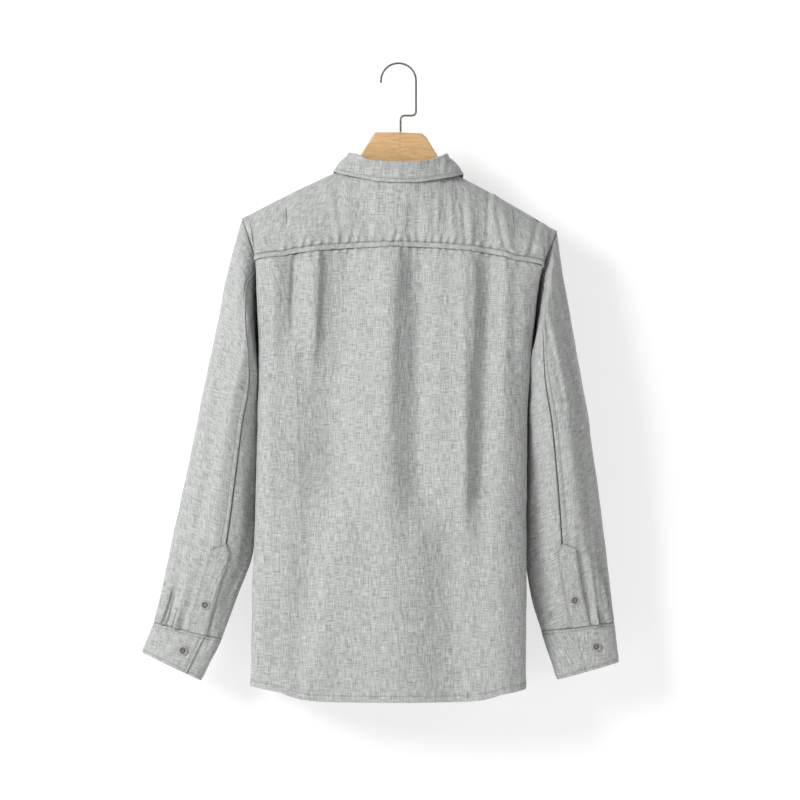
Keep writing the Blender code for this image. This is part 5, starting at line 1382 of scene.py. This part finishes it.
def make_stitches():
    """All the stitching as one mesh of short threads, each a small lozenge lying on the cloth."""
    start = np.concatenate([row[0] for row in STITCHES])
    end = np.concatenate([row[1] for row in STITCHES])
    normal = np.concatenate([row[2] for row in STITCHES])
    way = unit(end - start)
    side_way = unit(np.cross(way, normal))
    corners = []
    sunk = normal * 0.0001
    for share, wide, high in STITCH_SHAPE:
        middle = mix(start, end, share)
        half = side_way * STITCH_WIDE / 2 * wide
        corners += [middle - half - sunk, middle + normal * high, middle + half - sunk]
    vertices = np.stack(corners, axis=1)
    faces = []
    for ring in range(4):
        for j in range(2):
            a = ring * 3 + j
            faces.append((a, a + 1, a + 4, a + 3))
    faces = np.array(faces)
    count = len(start)
    faces = (faces[None] + np.arange(count)[:, None, None] * 15).reshape(-1, 4)
    uvs = np.zeros((count * 15, 2))
    piece = mesh_object("stitching", vertices.reshape(-1, 3), faces, uvs)
    piece.data.materials.append(THREAD)
    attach(piece, "root")
    return piece


# ---- looks: buttons ------------------------------------------------------------------------------


HOLES_AWAY = BUTTON_RADIUS * 0.25  # from the button's middle


def model_button():
    """A four-hole button with a rolled rim and its two threads, lying at the origin and facing up."""
    bpy.ops.object.select_all(action="DESELECT")
    bpy.ops.mesh.primitive_cylinder_add(
        vertices=40, radius=BUTTON_RADIUS, depth=BUTTON_THICK, location=(0, 0, BUTTON_THICK / 2)
    )
    button = bpy.context.object
    bpy.ops.object.transform_apply(location=True, rotation=False, scale=False)
    bpy.ops.object.mode_set(mode="EDIT")
    bpy.ops.mesh.select_mode(type="FACE")
    bpy.ops.mesh.select_all(action="DESELECT")
    bpy.ops.object.mode_set(mode="OBJECT")
    top = max(button.data.polygons, key=lambda face: face.center.z)
    top.select = True
    bpy.ops.object.mode_set(mode="EDIT")
    bpy.ops.mesh.inset(thickness=BUTTON_RADIUS * 0.20)
    bpy.ops.mesh.inset(thickness=BUTTON_RADIUS * 0.10, depth=-BUTTON_THICK * 0.40)
    bpy.ops.object.mode_set(mode="OBJECT")
    rim = button.modifiers.new("rim", "BEVEL")
    rim.width = BUTTON_THICK * 0.22
    rim.segments = 3
    rim.limit_method = "ANGLE"
    rim.angle_limit = math.radians(35)
    bpy.ops.object.modifier_apply(modifier="rim")
    for i in range(4):
        turn = math.tau * (i + 0.5) / 4
        at = (HOLES_AWAY * math.cos(turn), HOLES_AWAY * math.sin(turn), BUTTON_THICK / 2)
        bpy.ops.object.select_all(action="DESELECT")
        bpy.ops.mesh.primitive_cylinder_add(
            vertices=14, radius=BUTTON_RADIUS * 0.115, depth=BUTTON_THICK * 3, location=at
        )
        hole = bpy.context.object
        bpy.context.view_layer.objects.active = button
        cut = button.modifiers.new("hole", "BOOLEAN")
        cut.object = hole
        cut.operation = "DIFFERENCE"
        cut.solver = "EXACT"
        bpy.ops.object.modifier_apply(modifier="hole")
        bpy.data.objects.remove(hole, do_unlink=True)
    button.data.materials.clear()
    button.data.materials.append(BUTTON)
    bpy.ops.object.select_all(action="DESELECT")
    button.select_set(True)
    bpy.context.view_layer.objects.active = button
    bpy.ops.object.shade_smooth_by_angle(angle=math.radians(40))
    # Painted shade: darkest in the holes and under the rim where the button meets the cloth, less dark in
    # the inset's ring.
    layer = button.data.attributes.new("painted_shade", "FLOAT", "POINT")
    for i, corner in enumerate(button.data.vertices):
        away = math.hypot(corner.co.x, corner.co.y) / BUTTON_RADIUS
        low = corner.co.z < BUTTON_THICK * 0.5
        hole = away < 0.42 and abs(away - 0.25) < 0.14
        inset = 0.62 < away < 0.76
        layer.data[i].value = 1.0 if (away > 0.9 and low) or hole else 0.75 if inset else 0.0
    threads = []
    for sign in (-1, 1):
        bpy.ops.object.select_all(action="DESELECT")
        wide = HOLES_AWAY * math.sqrt(0.5)
        bpy.ops.mesh.primitive_cylinder_add(
            vertices=8, radius=0.00045, depth=wide * 2 + 0.0006, location=(0, 0, 0)
        )
        thread = bpy.context.object
        bpy.ops.object.mode_set(mode="EDIT")
        bpy.ops.mesh.select_all(action="SELECT")
        bpy.ops.transform.rotate(value=math.pi / 2, orient_axis="Y", center_override=(0, 0, 0))
        bpy.ops.transform.translate(value=(0, sign * wide, BUTTON_THICK * 0.80))
        bpy.ops.object.mode_set(mode="OBJECT")
        thread.data.materials.append(THREAD)
        threads.append(thread)
    bpy.ops.object.select_all(action="DESELECT")
    for thread in threads:
        thread.select_set(True)
    bpy.context.view_layer.objects.active = threads[0]
    bpy.ops.object.join()
    thread = bpy.context.object
    thread.data.shade_smooth()
    return button, thread


def make_glue_line():
    """The dark line of glue in the mitre between the hanger's arms."""
    bpy.ops.object.select_all(action="DESELECT")
    top, low = HANGER["top_left"][0], HANGER["bottom"][0]
    size = (SEAM_GAP * 0.9, HANGER["thick"][0] - 0.0004, low - top - 0.0006)
    bpy.ops.mesh.primitive_cube_add(size=1.0, location=(JOINT_X, 0, -(top + low) / 2), scale=size)
    line = bpy.context.object
    line.name = "mitre_glue"
    bpy.ops.object.transform_apply(location=True, rotation=True, scale=True)
    bpy.ops.object.mode_set(mode="EDIT")
    bpy.ops.mesh.select_mode(type="EDGE")
    bpy.ops.mesh.select_all(action="DESELECT")
    bpy.ops.object.mode_set(mode="OBJECT")
    for edge in line.data.edges:
        start, end = (line.data.vertices[i].co for i in edge.vertices)
        edge.select = abs(start.x - end.x) > SEAM_GAP / 2
    bpy.ops.object.mode_set(mode="EDIT")
    bpy.ops.mesh.bevel(offset=ARM_CHAMFER, offset_type="OFFSET", segments=1)
    bpy.ops.object.mode_set(mode="OBJECT")
    line.data.materials.append(plain("dried_wood_glue", "#5E4023", 0.6))
    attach(line, "root")


def make_button(name, node, place, normal, spin=0.0):
    """A copy of the button at a place, facing along normal."""
    for model, ending in zip(BUTTON_MODEL, ("", "_thread")):
        thing = model.copy()
        thing.data = model.data.copy()
        thing.name = name + ending
        bpy.context.scene.collection.objects.link(thing)
        settle(thing, place, normal, spin)
        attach(thing, "root")
        if not ending:
            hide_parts(node)


def settle(thing, place, normal, spin):
    """Turns a piece made about the origin to face along normal, at a place, in its own mesh."""
    normal = unit(np.asarray(normal, float))
    side_way = unit(np.cross(np.array([0.0, 0.3, 1.0]), normal))
    other_way = np.cross(normal, side_way)
    first = side_way * math.cos(spin) + other_way * math.sin(spin)
    second = np.cross(normal, first)
    corner = np.zeros(len(thing.data.vertices) * 3)
    thing.data.vertices.foreach_get("co", corner)
    corner = corner.reshape(-1, 3)
    moved = place + corner[:, :1] * first + corner[:, 1:2] * second + corner[:, 2:] * normal
    thing.data.vertices.foreach_set("co", moved.ravel())
    thing.data.update()


def make_buttons():
    """Every button of the shirt, at its place."""
    out = CLOTH + PLACKET_LIFT + LAY_GAP
    for side, word in ((LEFT, "left"), (RIGHT, "right")):
        turn = placket_turn(side, PLACKET_BUTTON, PLACKET_OVER - PLACKET_WIDTH / 2)[0, 0]
        place, normal = lifted(sleeve, side, turn, PLACKET_BUTTON, np.array(side * out))
        make_button("placket_button_" + word, "sleeve_button_" + word, place, normal, 0.3 * side)
        angle = cuff_angles(side)[1] - CUFF_BUTTON_BACK[side]
        middle = cuff(side, angle, np.array(0.5))
        span = cuff(side, angle + 3, np.array(0.5)) - cuff(side, angle - 3, np.array(0.5))
        fall = cuff(side, angle, np.array(0.6)) - cuff(side, angle, np.array(0.4))
        normal = side * unit(np.cross(span, fall))
        place = middle + normal * LAY_GAP
        make_button("wrist_button_" + word, "cuff_button_" + word, place, normal, 0.5 * side)
    for number, row in enumerate(np.linspace(FIRST_BUTTON, LAST_BUTTON, FRONT_BUTTONS)):
        place, normal = lifted(front, LEFT, 0.0, row, -np.array(STIFF_CLOTH + 3 * LAY_GAP))
        word = str(number + 1)
        make_button("button_" + word, "front_button_" + word, place, normal, 0.4 * number)
    place = stand(LEFT, np.array(180.0), np.array(0.5))
    make_button("button_0", "collar_button", place + np.array([0, LAY_GAP + 0.0004, 0]), (0, 1, 0))


# ---- looks: materials ----------------------------------------------------------------------------


def colour(code):
    """A linear colour from an sRGB hex code."""
    parts = [int(code[i : i + 2], 16) / 255 for i in (1, 3, 5)]
    return tuple(c / 12.92 if c <= 0.04045 else ((c + 0.055) / 1.055) ** 2.4 for c in parts) + (1.0,)


class Nodes:
    """A material's nodes, added one at a time."""

    def __init__(self, name):
        self.material = bpy.data.materials.new(name)
        self.material.use_nodes = True
        self.tree = self.material.node_tree
        self.shader = self.tree.nodes["Principled BSDF"]

    def add(self, kind, inputs=None, **settings):
        node = self.tree.nodes.new(kind)
        for key, value in settings.items():
            setattr(node, key, value)
        for key, value in (inputs or {}).items():
            self.set(node, key, value)
        return node

    def set(self, node, key, value):
        if isinstance(value, bpy.types.NodeSocket):
            self.tree.links.new(value, node.inputs[key])
        else:
            node.inputs[key].default_value = value

    def math(self, operation, a, b=0.5, c=0.5):
        return self.add("ShaderNodeMath", {0: a, 1: b, 2: c}, operation=operation).outputs[0]

    def ramp(self, factor, low, high, low_code, high_code):
        node = self.add("ShaderNodeValToRGB", {"Fac": factor})
        first, last = node.color_ramp.elements
        first.position, last.position = low, high
        first.color, last.color = colour(low_code), colour(high_code)
        return node.outputs["Color"]

    def noise(self, place, scale, detail=2.0, rough=0.5, distortion=0.0, flat=False):
        inputs = {"Vector": place, "Scale": scale, "Detail": detail, "Roughness": rough}
        inputs["Distortion"] = distortion
        node = self.add("ShaderNodeTexNoise", inputs, noise_dimensions="2D" if flat else "3D")
        return node.outputs["Fac"]

    def blend(self, factor, one, other):
        node = self.add("ShaderNodeMix", {"Factor": factor, "A": one, "B": other}, data_type="RGBA")
        return node.outputs["Result"]

    def bump(self, height, strength, distance, more=None):
        inputs = {"Height": height, "Strength": strength, "Distance": distance}
        return self.add("ShaderNodeBump", inputs | (more or {})).outputs["Normal"]

    def place(self):
        return self.add("ShaderNodeTexCoord").outputs["Object"]

    # Reads the attribute of painted shade: how far a point's colour is darkened where shade falls.
    def painted_shade(self):
        return self.add("ShaderNodeAttribute", attribute_name="painted_shade").outputs["Fac"]

    def finished(self, look):
        for key, value in look.items():
            self.set(self.shader, key, value)
        return self.material


YARN = 0.00062  # from one yarn of the linen to the next
LINEN_DARK, LINEN_LIGHT, LINEN_WARM = "#646665", "#CBCDCB", "#ABACA9"
# The colour of the painted shade laid into seams, creases, folds and slits, where shade falls.
PAINTED_SHADE_COLOUR = "#3C3F3E"


def linen():
    """Plain-weave linen: uneven yarns both ways, some lighter and some darker than the rest, with painted
    shade in seams, creases and folds.
    """
    made = Nodes("washed_linen")
    cut = made.add("ShaderNodeUVMap", uv_map="cut").outputs["UV"]
    parts = made.add("ShaderNodeSeparateXYZ", {0: cut})
    u, v = parts.outputs[0], parts.outputs[1]

    def streaks(across, along, fine, long, detail, seed):
        place = made.add(
            "ShaderNodeCombineXYZ",
            {0: made.math("DIVIDE", across, fine), 1: made.math("DIVIDE", along, long), 2: seed},
        )
        return made.noise(place.outputs[0], 1.0, detail, rough=0.6)

    def weighed(one, share, other, other_share):
        other = made.math("MULTIPLY", other, other_share)
        return made.math("ADD", made.math("MULTIPLY", one, share), other)

    warp = streaks(u, v, 0.0011, 0.016, 1.0, 1.0)
    weft = streaks(v, u, 0.0011, 0.013, 1.0, 5.0)
    warp_wide = streaks(u, v, 0.0024, 0.060, 0.0, 9.0)
    weft_wide = streaks(v, u, 0.0020, 0.050, 0.0, 13.0)
    both = weighed(warp, 0.52, weft, 0.48)
    wide = weighed(warp_wide, 0.5, weft_wide, 0.5)
    tone = weighed(both, 0.86, wide, 0.14)
    yarns = made.ramp(tone, 0.27, 0.73, LINEN_DARK, LINEN_LIGHT)
    cloudy = made.math("MULTIPLY", made.noise(cut, 9.0, 3.0, flat=True), 0.12)
    warm = made.blend(cloudy, yarns, colour(LINEN_WARM))
    # Painted shade: the piece's attribute darkens the cloth towards the dark colour above, where shade
    # falls in seams, creases and folds.
    painted_shade_amount = made.math("MULTIPLY", made.painted_shade(), 0.85)
    weave_u = made.math("SINE", made.math("MULTIPLY", u, math.tau / YARN / 2))
    weave_v = made.math("SINE", made.math("MULTIPLY", v, math.tau / YARN / 2))
    weave = made.math("MULTIPLY", made.math("MULTIPLY", weave_u, weave_v), 0.5)
    rough = weighed(both, 2.4, weave, 0.22)
    upright = made.add(
        "ShaderNodeMapping", {"Vector": cut, "Scale": (150.0, 62.0, 1.0), "Rotation": (0.0, 0.0, 0.12)}
    )
    crease = made.noise(upright.outputs[0], 1.0, 4.0, flat=True)
    yarn_bump = made.bump(rough, 0.55, 0.00035)
    look = {
        "Base Color": made.blend(painted_shade_amount, warm, colour(PAINTED_SHADE_COLOUR)),
        "Normal": made.bump(crease, 0.6, 0.0026, {"Normal": yarn_bump}),
        "Roughness": 0.92,
        "Specular IOR Level": 0.25,
        "Sheen Weight": 0.18,
        "Sheen Roughness": 0.5,
    }
    return made.finished(look)


def thread():
    """Linen thread, unevenly dyed."""
    made = Nodes("linen_thread")
    noise = made.noise(made.place(), 900.0)
    tone = made.ramp(noise, 0.3, 0.7, "#8F918E", "#C2C3BF")
    return made.finished({"Base Color": tone, "Roughness": 0.8})


def button_plastic():
    """Clouded plastic like horn, with painted shade in its grooves and holes and under its rim."""
    made = Nodes("button_horn_plastic")
    noise = made.noise(made.place(), 260.0, 3.0, distortion=1.2)
    horn = made.ramp(noise, 0.35, 0.7, "#92908A", "#B4B3AC")
    # Painted shade: the attribute darkens the horn towards a dark colour where shade falls.
    tone = made.blend(made.painted_shade(), horn, colour("#45443F"))
    return made.finished({"Base Color": tone, "Roughness": 0.32})


def beech():
    """Varnished beech with its grain along each arm."""
    made = Nodes("varnished_beech")
    place = made.place()
    grain = made.add("ShaderNodeMapping", {"Vector": place, "Scale": (55.0, 420.0, 420.0)})
    lines = made.noise(grain.outputs[0], 1.0, 5.0, distortion=0.6)
    flecks = made.add("ShaderNodeMapping", {"Vector": place, "Scale": (900.0, 2600.0, 2600.0)})
    fleck = made.noise(flecks.outputs[0], 1.0)
    streaked = made.math("ADD", made.math("MULTIPLY", lines, 0.75), made.math("MULTIPLY", fleck, 0.25))
    look = {
        "Base Color": made.ramp(streaked, 0.35, 0.68, "#BF9560", "#D3B185"),
        "Normal": made.bump(fleck, 0.15, 0.0003),
        "Roughness": 0.42,
        "Coat Weight": 0.25,
        "Coat Roughness": 0.25,
    }
    return made.finished(look)


def steel():
    """Plated steel wire."""
    made = Nodes("plated_steel_wire")
    noise = made.noise(made.place(), 500.0)
    tone = made.ramp(noise, 0.3, 0.7, "#8E8B82", "#A9A69C")
    rough = made.math("ADD", made.math("MULTIPLY", noise, 0.12), 0.24)
    return made.finished({"Base Color": tone, "Metallic": 1.0, "Roughness": rough})


def plain(name, code, roughness):
    """A material of one colour."""
    return Nodes(name).finished({"Base Color": colour(code), "Roughness": roughness})


# ---- looks: stage --------------------------------------------------------------------------------


def at_pixel(px, py):
    """X and Z of a point of the picture, in the plane of the hook."""
    return (px - ORIGIN_PX[0]) * PIXEL, -(py - ORIGIN_PX[1]) * PIXEL


def make_camera():
    """The camera, level with the middle of the picture and far away."""
    x, z = at_pixel(*VIEW_PX)
    camera = bpy.data.objects.new("camera", bpy.data.cameras.new("camera"))
    camera.data.sensor_width = 36.0
    camera.data.lens = 36.0 * CAMERA_AWAY / (PICTURE * PIXEL)
    camera.location = (x, -CAMERA_AWAY, z)
    camera.rotation_euler = (math.pi / 2, 0, 0)
    bpy.context.scene.collection.objects.link(camera)
    bpy.context.scene.camera = camera


def make_light(name, place, size, watts):
    """A soft white lamp that shines at the middle of the shirt."""
    lamp = bpy.data.lights.new(name, "AREA")
    lamp.shape = "RECTANGLE"
    lamp.size, lamp.size_y = size
    lamp.energy = watts
    thing = bpy.data.objects.new(name, lamp)
    thing.location = place
    way = SHIRT_MIDDLE - np.array(place)
    tilt = math.atan2(np.hypot(way[0], way[1]), -way[2])
    thing.rotation_euler = (tilt, 0, math.atan2(-way[0], way[1]))
    bpy.context.scene.collection.objects.link(thing)


SHIRT_MIDDLE = np.array([0.0, 0.0, -0.45])
KEY_WATTS, FILL_WATTS, WORLD_LIGHT = 250.0, 44.0, 0.20
KEY_SIZE, FILL_SIZE = (1.7, 1.7), (2.6, 2.6)
FILL_PLACE = (2.9, -4.0, 0.1)
KEY_AWAY, KEY_TURN, KEY_RISE = 5.0, 43.0, 19.0  # degrees to the left and above the camera
WALL_Y = 0.092
WALL_GLOW = 0.60  # the backdrop is paper lit from behind
FLOOR_DROP = 1.55


def make_stage():
    """The paper wall behind the shirt and a pale floor out of the picture."""
    bpy.ops.object.select_all(action="DESELECT")
    bpy.ops.mesh.primitive_plane_add(size=14.0, location=(0, WALL_Y, 0), rotation=(math.pi / 2, 0, 0))
    wall = bpy.context.object
    wall.name = "wall"
    paper = plain("backlit_paper", "#AEAEAE", 0.9)
    shader = paper.node_tree.nodes["Principled BSDF"]
    shader.inputs["Emission Color"].default_value = (1.0, 1.0, 1.0, 1.0)
    shader.inputs["Emission Strength"].default_value = WALL_GLOW
    wall.data.materials.append(paper)
    bpy.ops.mesh.primitive_plane_add(size=14.0, location=(0, WALL_Y - 7.0, -FLOOR_DROP))
    floor = bpy.context.object
    floor.name = "floor"
    floor.data.materials.append(plain("pale_floor", "#EDEDEC", 0.8))


# ---- everything ----------------------------------------------------------------------------------

LINEN, THREAD, BUTTON = linen(), thread(), button_plastic()
make_camera()
make_stage()
turn, rise = math.radians(KEY_TURN), math.radians(KEY_RISE)
key_way = np.array([-math.sin(turn) * math.cos(rise), -math.cos(turn) * math.cos(rise), math.sin(rise)])
make_light("key", key_way * KEY_AWAY + SHIRT_MIDDLE, KEY_SIZE, KEY_WATTS)
make_light("fill", FILL_PLACE, FILL_SIZE, FILL_WATTS)
world = bpy.data.worlds.new("studio")
world.use_nodes = True
world.node_tree.nodes["Background"].inputs["Color"].default_value = (1, 1, 1, 1)
world.node_tree.nodes["Background"].inputs["Strength"].default_value = WORLD_LIGHT
bpy.context.scene.world = world
bpy.context.scene.view_settings.view_transform = "Standard"

wood, wire = beech(), steel()
for node, finish in (("hanger_arm_left", wood), ("hanger_arm_right", wood), ("hanger_hook", wire)):
    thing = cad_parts[node]
    thing.data.materials.clear()
    thing.data.materials.append(finish)

make_back()
make_yoke()
for side in (LEFT, RIGHT):
    make_front(side)
    make_sleeve(side)
    make_cuff(side)
    make_sleeve_band(side)
make_collar()
make_front_band()
make_stitches()
make_glue_line()
BUTTON_MODEL = model_button()
make_buttons()
for model in BUTTON_MODEL:
    bpy.data.objects.remove(model, do_unlink=True)
